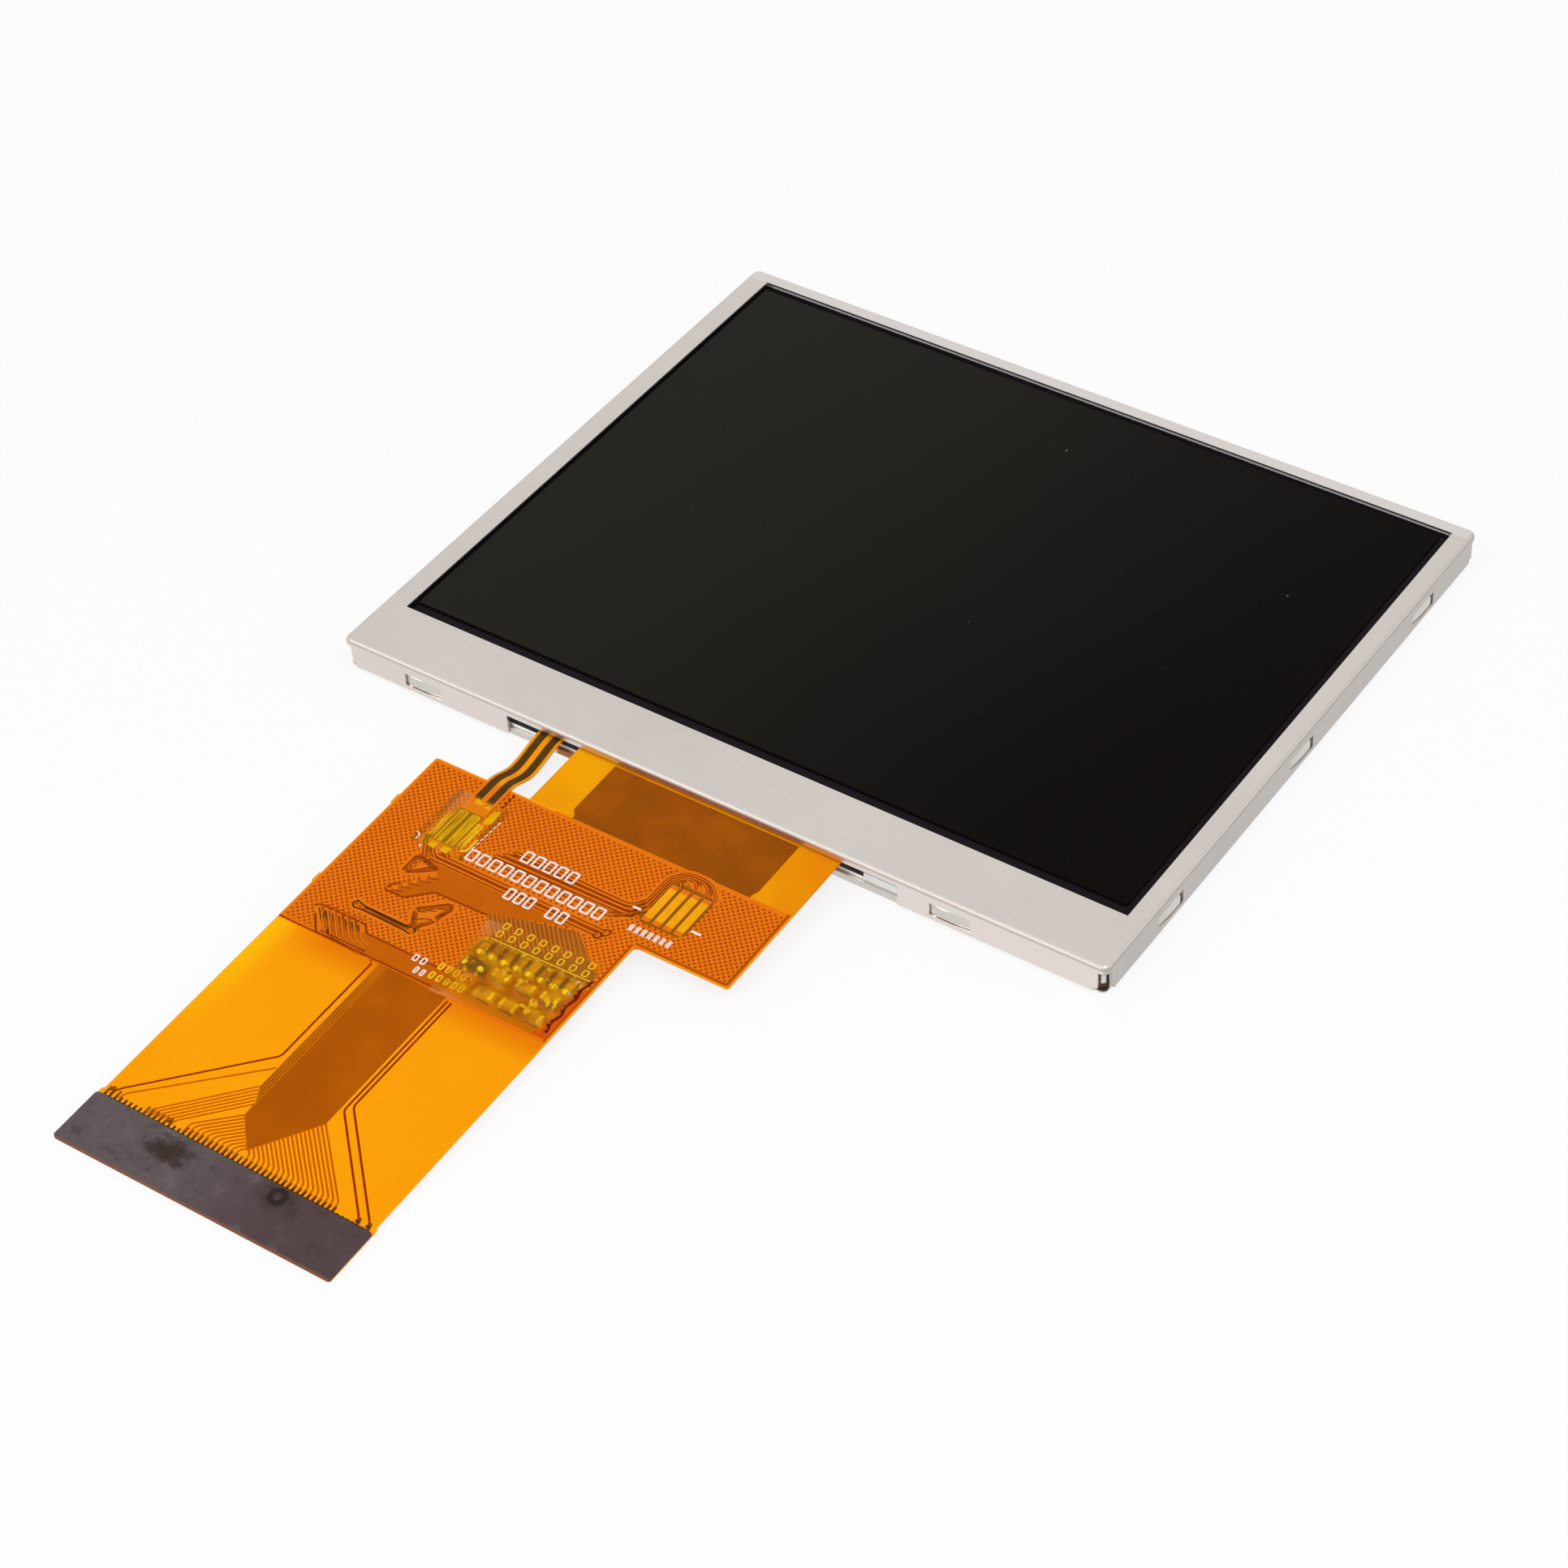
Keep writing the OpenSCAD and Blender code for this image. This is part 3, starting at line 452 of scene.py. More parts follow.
def polariser_front():
    """The screen: a near-black film, paler and greener to the left, with specks of dust and a dark rim."""
    screen = Finish("polariser_front", gloss=.03)
    x, y, _ = screen.axes()
    depth = screen.noise(.035, detail=2)
    across = (x - y * .12 + depth * 8 - 4).ramp(-40, 36)
    mottle = screen.noise(.5, detail=4, rough=.7)
    hue = screen.mix(across, screen.mix(mottle, (30, 32, 26), (36, 32, 27)),
                     screen.mix(mottle, (5, 4, 3), (9, 4, 2)))
    specks = screen.cells(.16).ramp(.022, .010) * screen.noise(.21, detail=0).ramp(.5, .62)
    dust = screen.cells(.45).ramp(.035, .012) * screen.noise(.13, detail=1).ramp(.48, .6)
    from_side = (window.high[0] - .05 - x).least(x - window.low[0] - .05)
    from_end = (window.high[1] - .05 - y).least(y - window.low[1] - .05)
    rim = from_side.least(from_end).ramp(.08, .02)
    hue = screen.mix(specks.most(dust * .35) * .6, hue, (150, 148, 140))
    return screen.set(Base_Color=screen.mix(rim * .9, hue, (16, 6, 8)), Roughness=.2 + depth * .1)


bezel_steel().dress("front_bezel")
pan_steel().dress("back_pan")
white_moulding().dress("mould_frame")
polariser_front().dress("upper_polariser")
for node, low, high, rough in (("reflector_film", (236, 238, 238), (250, 250, 250), .2),
                               ("light_guide", (214, 226, 230), (226, 236, 240), .08),
                               ("diffuser_film", (236, 236, 232), (246, 246, 243), .5),
                               ("lower_prism_film", (214, 220, 224), (228, 232, 236), .3),
                               ("upper_prism_film", (206, 212, 218), (222, 228, 232), .3)):
    two_tone(node, low, high, .3, rough, .12, 2, detail=2).dress(node)
two_tone("led_plastic", (238, 226, 170), (246, 240, 206), 2, .35, .1, 5).dress("leds")
two_tone("black_tape", (18, 17, 17), (30, 29, 28), 3, .5, .15, 6).dress("rim_tape")
two_tone("polariser_back", (62, 62, 60), (72, 72, 70), .5, .12, .08, .6).dress("lower_polariser")
cell_glass = two_tone("cell_glass", (20, 15, 20), (30, 24, 29), .2, .1, .06, .5, gloss=.03)
cell_glass.dress("colour_filter_glass", "tft_glass")
two_tone("silicon", (84, 86, 92), (104, 106, 112), 1.5, .2, .1, 3, metallic=.4).dress("driver_chip")
two_tone("bond_film", (150, 120, 80), (172, 142, 98), 3, .4, .1, 5).dress("flex_bond")

# ---------------------------------------------------------------- finishes of the flexes

FILM_GLOSS = .03
SOFT = .02
HATCH_EDGE = .42
HATCH = .405


def hatch_holes(x, y):
    """1 in the holes of the hatched copper, which stand in slanting rows: the sum of two cosines,
    of X + Y and of X - Y. The hatch stops short of the field's edges."""
    turn = 2 * math.pi / HATCH / math.sqrt(2)
    holes = (((x + y) * turn).cos() + ((x - y) * turn).cos()).ramp(.15, 1.1)
    left = FILM_LEFT + HATCH_EDGE
    near = FIELD_NEAR - HATCH_EDGE
    lobe = y.within(LOBE_FAR + HATCH_EDGE, near, SOFT) * x.within(left, LOBE_RIGHT - HATCH_EDGE, SOFT)
    body = y.within(FIELD_FAR + HATCH_EDGE, near, SOFT) * x.within(left, FILM_RIGHT - HATCH_EDGE, SOFT)
    return holes * lobe.most(body)


def film_rims(x, y):
    """1 along the edges of the field where light comes out of the film's cut edge."""
    behind = y.ramp(FIELD_NEAR + .1, FIELD_NEAR)
    left = (x - FILM_LEFT).ramp(.14, .08) * behind
    near = y.within(FIELD_NEAR - .12, FIELD_NEAR + .1, .04) * x.ramp(-10.2, -10.5)
    lobe_right = x.ramp(LOBE_RIGHT - .12, LOBE_RIGHT - .06) * behind
    lobe_far = y.ramp(LOBE_FAR + .14, LOBE_FAR + .08) * x.ramp(FILM_RIGHT + .5, FILM_RIGHT + .9)
    body_right = x.ramp(FILM_RIGHT - .12, FILM_RIGHT - .06) * y.ramp(LOBE_FAR, LOBE_FAR - .4)
    return left.most(near).most(lobe_right).most(lobe_far.most(body_right))


def amber_film():
    """The main film: orange field with its hatched copper, amber neck, and a tail with painted shade
    under the field's edge and painted light along its left edge."""
    amber = Finish("amber_film", gloss=FILM_GLOSS)
    x, y, _ = amber.axes()
    holes = hatch_holes(x, y)
    slow = amber.noise(.07, detail=2)
    fine = amber.noise(.9, detail=3)
    orange = amber.mix(slow, (224, 109, 10), (238, 124, 16))
    hole_tone = amber.mix(fine, (152, 52, 2), (182, 72, 4))
    tail_tone = amber.mix(slow, (248, 150, 2), (255, 168, 6))
    # painted shade on the tail under the field's edge, and painted light along its left edge
    tail_shade = y.ramp(FIELD_FAR - 3.4, FIELD_FAR) * .8 * x.ramp(FILM_LEFT, FILM_LEFT + 6)
    tail_edge_light = x.ramp(FILM_LEFT + 3, FILM_LEFT) * y.ramp(FIELD_FAR - 17, FIELD_FAR - 3)
    tail_tone = amber.mix(tail_shade, tail_tone, (230, 116, 2))
    tail_tone = amber.mix(tail_edge_light * .85, tail_tone, (255, 192, 4))
    neck_shade = amber.noise(.16, detail=1).ramp(.35, .7) * .5 + x.ramp(-9.6, -8.7) * .35
    neck_tone = amber.mix(neck_shade, (244, 164, 2), (232, 132, 4))
    film = amber.mix(y.ramp(FIELD_NEAR, FIELD_NEAR + SOFT), tail_tone, neck_tone)
    film = amber.mix(y.within(FIELD_FAR, FIELD_NEAR, SOFT), film, amber.mix(holes, orange, hole_tone))
    film = amber.mix(film_rims(x, y) * .7, film, (255, 172, 16))
    film = amber.mix(y.ramp(TAIL_END + .3, TAIL_END + .2), film, (150, 92, 52))
    return amber.set(Base_Color=film, Roughness=.32 + fine * .12,
                     Normal=amber.bump(fine * .4 - holes, .01, .5))


STRIP_TRACK = .36
STRIP_TRACK_X = .62


def amber_strip():
    """The backlight's strip: two broad dark tracks seen through amber film, up to its pads."""
    amber = Finish("amber_strip", gloss=FILM_GLOSS)
    x, y, _ = amber.axes()
    off_track = ((x - STRIP_X).abs() - STRIP_TRACK_X).abs()
    tracks = off_track.ramp(STRIP_TRACK + .03, STRIP_TRACK - .03)
    tracks = tracks * y.ramp(joint.high[1] + 1.65, joint.high[1] + 1.75)
    film = amber.mix(amber.noise(.5), (238, 140, 4), (252, 162, 8))
    film = amber.mix(y.ramp(FIELD_NEAR + .4, FIELD_NEAR - .4) * .7, film, (228, 104, 14))
    dark = amber.mix(amber.noise(.9), (70, 46, 12), (96, 66, 22))
    return amber.set(Base_Color=amber.mix(tracks, film, dark), Roughness=.3 + amber.noise(2) * .12)


GLUE_STAIN = (-14.1, -84.3)
GLUE_PALE = (-15.2, -82.9)
PRESS_RING = (-4, -83.4)
RING_SMUDGE = (-3.7, -83.6)


def dark_plate():
    """The stiffener: dark varnish with blotches, browner to the right, with a glue stain and a ring."""
    varnish = Finish("dark_plate", gloss=.15)
    x, y, _ = varnish.axes()
    grain = varnish.noise(2.5, detail=5, rough=.7)
    blotch = varnish.noise(.55, detail=6, rough=.7)
    smear = varnish.noise(.8, 1.4, 1, detail=6, rough=.8)
    stain = (away(x, y, GLUE_STAIN, .35) * .6 + smear * 2.4 - .75).ramp(1.55, .7)
    smudge = away(x, y, RING_SMUDGE, .3).ramp(1.7, .1) * smear.ramp(.3, .75) * 1.3
    ring = (away(x, y, PRESS_RING).within(.5, .75, .18) * .9 + smudge).least(1.0)
    pale = away(x, y, GLUE_PALE).ramp(.9, .1) * smear.ramp(.5, .62)
    far_edge = y.ramp(stiffener.low[1] + .16, stiffener.low[1] + .1)
    colour = varnish.mix(grain, (74, 64, 66), (106, 95, 96))
    for mask, tint in ((x.ramp(-14, -2) * .75, (72, 52, 54)),
                       (blotch.ramp(.52, .7) * .55, (56, 38, 34)),
                       (blotch.ramp(.45, .3) * .35, (122, 110, 110)),
                       (stain * .9, (44, 28, 18)),
                       (pale * .5, (150, 136, 120)),
                       (ring, (36, 24, 18)),
                       (far_edge * .7, (132, 84, 52))):
        colour = varnish.mix(mask, colour, tint)
    return varnish.set(Base_Color=colour, Roughness=.42 + grain * .2, Normal=varnish.bump(grain, .02, .5))


def bare_gold():
    """Bare gold, redder towards the ends of the touch pads."""
    gold = Finish("gold", metallic=.4, gloss=.08)
    x, y, _ = gold.axes()
    tone = gold.noise(1.2, detail=3)
    from_middle = (y - (pads.low[1] + pads.high[1]) / 2).abs()
    pad_end = from_middle.ramp(1.72, 1.86) * x.ramp(2.5, 2.7) * y.ramp(FIELD_FAR, FIELD_FAR + 1)
    bright = gold.mix(tone, (232, 146, 0), (254, 178, 4))
    return gold.set(Base_Color=gold.mix(pad_end * .85, bright, (226, 104, 8)),
                    Roughness=.32 + tone * .15, Normal=gold.bump(tone, .02, .4))


def taped_gold():
    """Gold and solder under the joint's tape, streaked along the strip."""
    gold = Finish("taped_gold", metallic=.3, gloss=.1)
    streak = gold.noise(2.6, .35, 1.2, detail=2).ramp(.3, .7)
    return gold.set(Base_Color=gold.mix(streak, (178, 120, 0), (252, 204, 6)),
                    Roughness=.3 + streak * .2, Normal=gold.bump(streak, .03, .5))


def tin():
    """Tinned ends, yellow under the tape, with painted shade on their near ends, and bare past the tape's
    edge.
    """
    tinned = Finish("tin", metallic=.5, gloss=.1)
    x, y, _ = tinned.axes()
    tone = tinned.noise(.8, detail=2)
    # painted shade: the near ends are duller
    near_end_shade = y.ramp(ends.high[1] - .5, ends.high[1] - .4)
    bright = tone.ramp(.25, .5) * (1 - near_end_shade * .75)
    taped = tinned.mix(bright, (176, 124, 0), (255, 216, 16))
    bare = tinned.mix(tone, (186, 176, 160), (236, 230, 224))
    return tinned.set(Base_Color=tinned.mix(x.ramp(ends.high[0] - .35, ends.high[0] - .15), taped, bare),
                      Roughness=.2 + tone * .2, Normal=tinned.bump(tone, .04, .5))


def capacitor_ceramic():
    """Ochre ceramic in two mottled tones."""
    ceramic = Finish("capacitor_ceramic", gloss=.1)
    tone = ceramic.noise(1.1, detail=3).ramp(.3, .7)
    return ceramic.set(Base_Color=ceramic.mix(tone, (188, 116, 0), (230, 156, 2)),
                       Roughness=.5 + ceramic.noise(6) * .1)


def clear_tape():
    """Clear yellow tape: all but invisible where it holds, hazy at the corner where it has lifted."""
    tape = Finish("clear_tape", gloss=.2)
    x, y, _ = tape.axes()
    tone = tape.noise(.8, detail=3)
    crease = tape.noise(.5, 1.4, 1, detail=3).ramp(.5, .7)
    lifted = away(x, y, (wrap.low[0] + .6, wrap.high[1] - .9), 1, .5).ramp(1.8, .2)
    haze = lifted * (tone * .8 + .4)
    return tape.set(Base_Color=tape.mix(haze.least(1.0), (240, 170, 8), (238, 168, 112)),
                    Roughness=.12 + tone * .12, Alpha=(.07 + crease * .1 + haze * .11).least(1.0),
                    Normal=tape.bump(tape.noise(1.2, detail=2), .12, .5))


amber_film().dress("main_flex")
amber_strip().dress("led_flex")
dark_plate().dress("stiffener")
bare_gold().dress("touch_pads", "tail_contacts")
taped_gold().dress("led_pads", "led_solder")
tin().dress("capacitor_ends", "diode_leads")
capacitor_ceramic().dress("capacitor_bodies")
two_tone("black_epoxy", (30, 24, 6), (52, 42, 14), 5, .4, .15, 8, gloss=.2).dress("diode_body")
clear_tape().dress("joint_tape")

# ---------------------------------------------------------------- print on the flex

# ink stands one step over its face for each level, and bites into the film below
INK = .004
BITE = .03
BOX_IN = .1
BOX_GAP = .42

# drawn places of the field's and tail's edges, and the made places that they go to
MIDDLE = -9.3
FIELD_DRAWN = [-22.35, MIDDLE, 3.95, 13.2]
TAIL_DRAWN = [-22.5, MIDDLE, 4.05]
FIELD_MADE = [FILM_LEFT, MIDDLE, FILM_RIGHT, LOBE_RIGHT]
TAIL_MADE = FIELD_MADE[:3]
NEAR_DRAWN = -38.75
STIFFENER_DRAWN = -82.35
FIELD_TILT = .04
FIELD_STRETCH = 1.0216
TAIL_TILT = .0187
TAIL_SQUEEZE = .9745


def ink(name, low, high, grain=.6, stripes=0.0, depth=0.0):
    """A finish for print: two tones by noise and, where stripes gives a pitch, fine lines by a
    cosine of X, darker by depth."""
    finish = Finish(name, gloss=FILM_GLOSS)
    base = finish.mix(finish.noise(grain), low, high)
    if stripes:
        lines = (finish.axes()[0] * (2 * math.pi / stripes)).cos().ramp(-.2, .9)
        shade = tuple(c * (1 - depth) for c in low)
        base = finish.mix(lines * finish.noise(.25, detail=1).ramp(.2, .6), base, shade)
    return finish.set(Base_Color=base, Roughness=.35 + finish.noise(2) * .1)


def lay_on_field(points):
    """Places on the field from places on its drawing, which lies a little askew: x is stretched
    towards both edges; y loses a slope about the middle and is stretched from the near edge. Both
    changes of y fade out over the lobe."""
    x, y = np.asarray(points, float).T
    level = y - FIELD_TILT * (np.clip(x, -18, 3) - MIDDLE)
    stretched = FIELD_NEAR + FIELD_STRETCH * (level - NEAR_DRAWN)
    share = np.clip((3 - x) / 2, 0, 1)
    return np.column_stack([np.interp(x, FIELD_DRAWN, FIELD_MADE), stretched * share + y * (1 - share)])


def lay_on_tail(points):
    """Places on the tail from places on its drawing: x is stretched about the middle; y loses a
    slope and is squeezed between the field and the stiffener."""
    x, y = np.asarray(points, float).T
    level = y - TAIL_TILT * (x - MIDDLE)
    squeezed = stiffener.high[1] + TAIL_SQUEEZE * (level - STIFFENER_DRAWN)
    return np.column_stack([np.interp(x, TAIL_DRAWN, TAIL_MADE), squeezed])


class Face:
    """A face of the flex to print on. Lay turns drawn places to made ones, top is the face's height
    over the film's underside, and ink of a higher level lies over that of a lower one."""

    def __init__(self, top, lay=np.array):
        self.lay = lay
        self.low = top - BITE
        self.top = top

    def line(self, points, width, level, radius=.35, joined=False):
        """A ribbon of ink along a drawn path."""
        return track(self.lay(points), width, self.low, self.top + INK * level, radius, joined)

    def patch(self, outline, level):
        """A plate of ink with a drawn outline."""
        return plate(self.lay(outline), self.low, self.top + INK * level)

    def dot(self, x, y, radius, level, count=14):
        """A round plate of ink."""
        return self.patch(circle(x, y, radius, count), level)

    def ring(self, x, y, radius, width, level):
        """A round ribbon of ink."""
        return self.line(circle(x, y, radius, 10), width, level, joined=True)

    def boxes(self, left, right, y, height, count, width=.2):
        """Hollow boxes in a row, as closed tracks, with a gap between each two."""
        pitch = (right - left) / count
        wide = pitch - BOX_GAP
        high = y + height
        return [self.line([(x, y), (x + wide, y), (x + wide, high), (x, high)], width, 5, .1, True)
                for x in left + BOX_IN + pitch * np.arange(count)]


# the single film and the field, each in made places and by its drawing, and the strip's top
single = Face(FILM_T)
tail = Face(FILM_T, lay_on_tail)
made = Face(FIELD_TOP)
field = Face(FIELD_TOP, lay_on_field)
strip = Face(FIELD_TOP + STRIP_T)

# ---------------------------------------------------------------- print on the neck and tail

BAND = [(-11.5, -59.6), (-11.5, -78.1), (-9.1, -80.9), (-5.55, -75.4), (-5.55, -59.6)]
SIDE_BAND = [(-12.3, -59.6), (-12.3, -75.1), (-11.6, -76.6), (-11.52, -78.0), (-11.52, -59.6)]
NECK_BAND = [(-9.2, HINGE_Y - .9), (-9.2, -38.0), (-8.7, -38.6), (-8.7, FIELD_NEAR),
             (9.15, FIELD_NEAR), (9.15, -38.6), (9.4, -38.0), (9.4, HINGE_Y - .9)]
TAIL_TRACKS = ([(-13.5, -59.45), (-13.05, -59.65), (-12.85, -60.0), (-12.85, -71.75), (-21.4, -81.35),
                (-21.75, -82.2)],
               [(-5.22, -59.9), (-5.22, -73.5), (2.25, -81.3), (2.7, -82.2)],
               [(-4.82, -59.9), (-4.82, -72.8), (3.3, -81.3), (3.75, -82.2)])
FAN_PITCH = .486
FAN_Y = -81.05
TEETH = 54
LOW_TEETH = ((-20.8, -18.6), (-16.2, -14.7), (.4, 4))
BROAD_ROOTS = ((-21.85, -81.55), (-15.95, -81.65), (2.45, -81.5), (3.45, -81.5))


def fan_lines():
    """The lines that fan out to the contacts: one long line, six by the side band, and two sets that
    leave the band's point at 45 degrees. A start's place is (end - offset) / slope, so that the
    starts of a set lie on a straight line."""
    lines = [tail.line([(-12.4, -72.95), (-20.7, -81.5), (-20.9, -82.2)], .18, 2)]
    for i in range(6):
        lines.append(tail.line([(-12.3 + .15 * i, -75.15 - .34 * i), (-17.9 + .44 * i, -81.6),
                                (-18.0 + .44 * i, -82.2)], .17, 2))
    for first, count, offset, slope, lean in ((-14.45, 11, 9.89, 2.12, 1), (-8.6, 19, 14.13, 2.52, -1)):
        for end in first + FAN_PITCH * np.arange(count):
            start = (end - offset) / slope
            lines.append(tail.line([(start + .05 * lean, FAN_Y + (start - end) * lean), (end, -81.1),
                                    (end, -82.2)], .18, 2))
    return lines


def tail_teeth():
    """The short dark ends of the lines at the stiffener, four broad roots and a base line."""
    teeth = []
    for x in np.linspace(-22.1, 3.65, TEETH):
        top = -81.95 if any(left < x < right for left, right in LOW_TEETH) else -81.5
        teeth.append(tail.line([(x, top), (x, -82.5)], .22, 3))
    for x, y in BROAD_ROOTS:
        low = y - .35
        high = y + .2
        teeth.append(tail.patch([(x - .22, low), (x + .3, low), (x + .12, high), (x - .1, high)], 3))
    base_y = stiffener.high[1] + .08
    return teeth + [single.line([(FILM_LEFT + .3, base_y), (FILM_RIGHT - .3, base_y)], .16, 2)]


def tooth_brown():
    """The teeth's finish: near black at the stiffener, brown a millimetre further in."""
    brown = Finish("tooth_brown", gloss=FILM_GLOSS)
    y = brown.axes()[1]
    tone = y.ramp(stiffener.high[1] + .1, stiffener.high[1] + .95) + brown.noise(2) * .3 - .15
    return brown.set(Base_Color=brown.mix(tone.most(0.0).least(1.0), (50, 30, 2), (150, 80, 2)),
                     Roughness=.35 + brown.noise(5) * .1)


printed("tail_band", ink("band_brown", (176, 84, 0), (190, 96, 2), .1, .2, .12),
        [tail.patch(BAND, 1)])
printed("tail_side_band", ink("band_light", (192, 98, 2), (206, 110, 4), .2, .26, .3),
        [tail.patch(SIDE_BAND, 1)])
printed("neck_band", ink("neck_brown", (156, 78, 4), (178, 92, 6), .12, .22, .3),
        [single.patch(NECK_BAND, 1)])
printed("tail_tracks", ink("line_dark", (134, 36, 0), (156, 50, 0)),
        [tail.line(run, .2, 2) for run in TAIL_TRACKS])
printed("tail_fan", ink("fan_orange", (194, 86, 0), (212, 102, 0)), fan_lines())
printed("tail_teeth", tooth_brown(), tail_teeth())

# ---------------------------------------------------------------- copper of the field

PAD_TRACKS = ([(-10.5, -44.35), (1.1, -44.0), (2.0, -43.1), (2.0, -40.2), (3.05, -39.25), (5.35, -39.25),
               (6.75, -40.55), (6.65, -41.1)],
              [(-11.1, -44.95), (1.35, -44.45), (2.24, -43.5), (2.24, -40.35), (3.15, -39.5), (5.0, -39.5),
               (5.75, -40.3), (5.6, -41.1)],
              [(-11.7, -45.5), (1.55, -44.95), (2.48, -43.9), (2.48, -40.5), (3.25, -39.75), (4.1, -39.75),
               (4.65, -40.4), (4.5, -41.1)],
              [(-12.1, -46.1), (.45, -45.6), (2.72, -44.1), (2.72, -40.75), (3.1, -40.35), (3.5, -41.1)])
LONG_TRACKS = ([(-15.6, -48.0), (1.15, -47.4)], [(-15.9, -48.45), (.7, -47.85)])
JOINT_TRACKS = ([(-17.6, -46.6), (-17.35, -47.1), (-16.3, -48.75)],
                [(-16.3, -46.6), (-16.3, -47.7), (-15.5, -48.35)],
                [(-15.2, -46.6), (-15.15, -47.4), (-14.6, -47.75)])
AREA = [(-15.6, -48.75), (-1.2, -48.25), (-3.3, -48.95), (-8.5, -50.95), (-13.2, -51.25), (-15.0, -53.05),
        (-16.4, -53.1), (-16.2, -51.9), (-14.0, -49.7), (-14.6, -49.3)]
AREA_EDGE = [(-8.1, -50.9), (-8.6, -51.0), (-13.2, -51.3), (-15.05, -53.15), (-16.1, -53.15), (-16.75, -53.3),
             (-16.85, -52.75), (-16.2, -52.0)]
FAR_AREA = [(-15.2, -57.75), (-6.0, -57.4), (-6.0, -59.3), (-13.9, -59.45), (-17.6, -59.3), (-16.2, -58.2)]
FAR_EDGES = ([(-20.55, -57.6), (-20.2, -57.2), (-15.7, -57.05), (-15.2, -57.75), (-6.3, -57.4)],
             [(-19.95, -58.2), (-18.65, -59.8), (-13.95, -59.6), (-6.3, -59.3)],
             [(-18.4, -59.5), (-14.0, -59.35)])
KITE = [(-11.1, -51.65), (-10.8, -52.1), (-11.2, -53.4), (-11.3, -54.0), (-12.1, -55.1), (-12.6, -55.1),
        (-13.3, -54.0), (-13.4, -53.4), (-12.6, -52.75), (-11.5, -51.75)]
KITE_BARS = ((-11.6, -52.4), (-12.2, -53.0), (-12.8, -53.5), (-12.0, -53.9), (-12.6, -54.3))
BAR = [(-17.9, -55.35), (-17.0, -55.55), (-12.6, -55.35), (-12.1, -55.2), (-11.9, -55.6), (-12.2, -55.95),
       (-12.7, -55.85), (-17.0, -55.95), (-17.8, -56.1), (-18.1, -55.75)]
COLUMN = [(-16.95, -49.0), (-16.95, -50.75), (-16.5, -50.85), (-15.5, -50.15), (-14.4, -49.2),
          (-15.9, -48.85), (-16.4, -48.75)]
LEAD_LINES = 21
HOOKS = 7
HOOK_END = -14.2

# shapes of one colour, gathered by the functions below: cleared ground, gaps, dark bars and copper
cleared = []
gaps = []
bars = []
copper = []


def cut_track(run, clearance, gap, width):
    """A copper line in its gap, on ground cleared of the hatch."""
    cleared.append(field.line(run, clearance, 1))
    gaps.append(field.line(run, gap, 2))
    copper.append(field.line(run, width, 3))


def pad_tracks():
    """The four tracks that go round to the touch pads: broad first, narrow by the pads, with a dot
    at the start."""
    for run in PAD_TRACKS:
        cleared.append(field.line(run, 1.0, 1, .7))
        for part, gap, width in ((run[:3], .52, .2), (run[1:], .3, .12)):
            gaps.append(field.line(part, gap, 2, .7))
            copper.append(field.line(part, width, 3, .7))
        copper.append(field.dot(*run[0], .26, 3))


def long_tracks():
    """The two long tracks past the labels, each with a ringed dot at its end."""
    for run in LONG_TRACKS:
        cut_track(run, 1.1, .5, .2)
        gaps.append(field.dot(*run[1], .45, 2))
        copper.append(field.dot(*run[1], .24, 3))


def loops():
    """The kite with its bars, and the long bar with rounded ends."""
    cleared.extend([field.patch(KITE, 1), field.line(KITE, .9, 1, joined=True)])
    gaps.append(field.line(KITE, .2, 2, joined=True))
    for x, y in KITE_BARS:
        bars.append(field.line([(x - .35, y - .2), (x + .35, y + .15)], .11, 2))
    cleared.append(field.line(BAR, .8, 1, joined=True))
    bars.append(field.line(BAR, .17, 2, joined=True))
    bars.append(field.line([(-16.9, -55.58), (-12.7, -55.42)], .2, 2))


def column():
    """The corner left of the area: an outline, three rings down its left side, four ticks that rise
    to the right, and five dots that fall to the left, each with a tick."""
    cleared.extend([field.patch(COLUMN, 1), field.line(COLUMN, .8, 1, joined=True)])
    gaps.append(field.line(COLUMN, .17, 3, joined=True))
    for i in range(3):
        gaps.append(field.ring(-16.5, -49.3 - .58 * i, .22, .1, 2))
    for i in range(4):
        y = -50.35 + .3 * i
        gaps.append(field.line([(-16.15 + .25 * i, y), (-15.65 + .3 * i, y + .4)], .11, 3))
    for i in range(5):
        x = -14.45 - .44 * i
        y = -49.95 - .66 * i
        copper.append(field.dot(x, y, .24, 3, 10))
        gaps.append(field.line([(x - .1, y - .38), (x + .75, y - .1)], .11, 3))


def hooks():
    """Nested hooks at the field's far left: each comes down at 45 degrees and turns along the
    field's edge, dark in its upper part, with a ring at its top."""
    for i in range(HOOKS):
        x = -20.2 + .64 * i
        y = -57.35 + .03 * i
        turn_y = -59.72 + .2 * i
        turn_x = x + y - turn_y
        low_x = x + (turn_x - x) * .45
        low_y = y + (turn_y - y) * .45
        end = (HOOK_END, turn_y + .02 * i)
        cleared.append(field.line([(x - .2, y + .1), (turn_x, turn_y)], .9, 1))
        bars.append(field.line([(x + .2, y - .2), (low_x, low_y)], .28, 2))
        gaps.append(field.line([(low_x, low_y), (turn_x, turn_y), end], .22, 2, .4))
        gaps.append(field.ring(x + .02, y + .22, .17, .08, 2))
        copper.append(field.line([(x, y + .1), (turn_x, turn_y), end], .14, 3, .4))


def lead_lines():
    """The fine slanting lines that leave the area for the capacitors."""
    for i in range(LEAD_LINES):
        x = -8.5 + .385 * i
        y = -50.75 + .118 * i
        copper.append(field.line([(x + .19, y + .04), (x + 2.49, y - 2.26)], .09, 3))


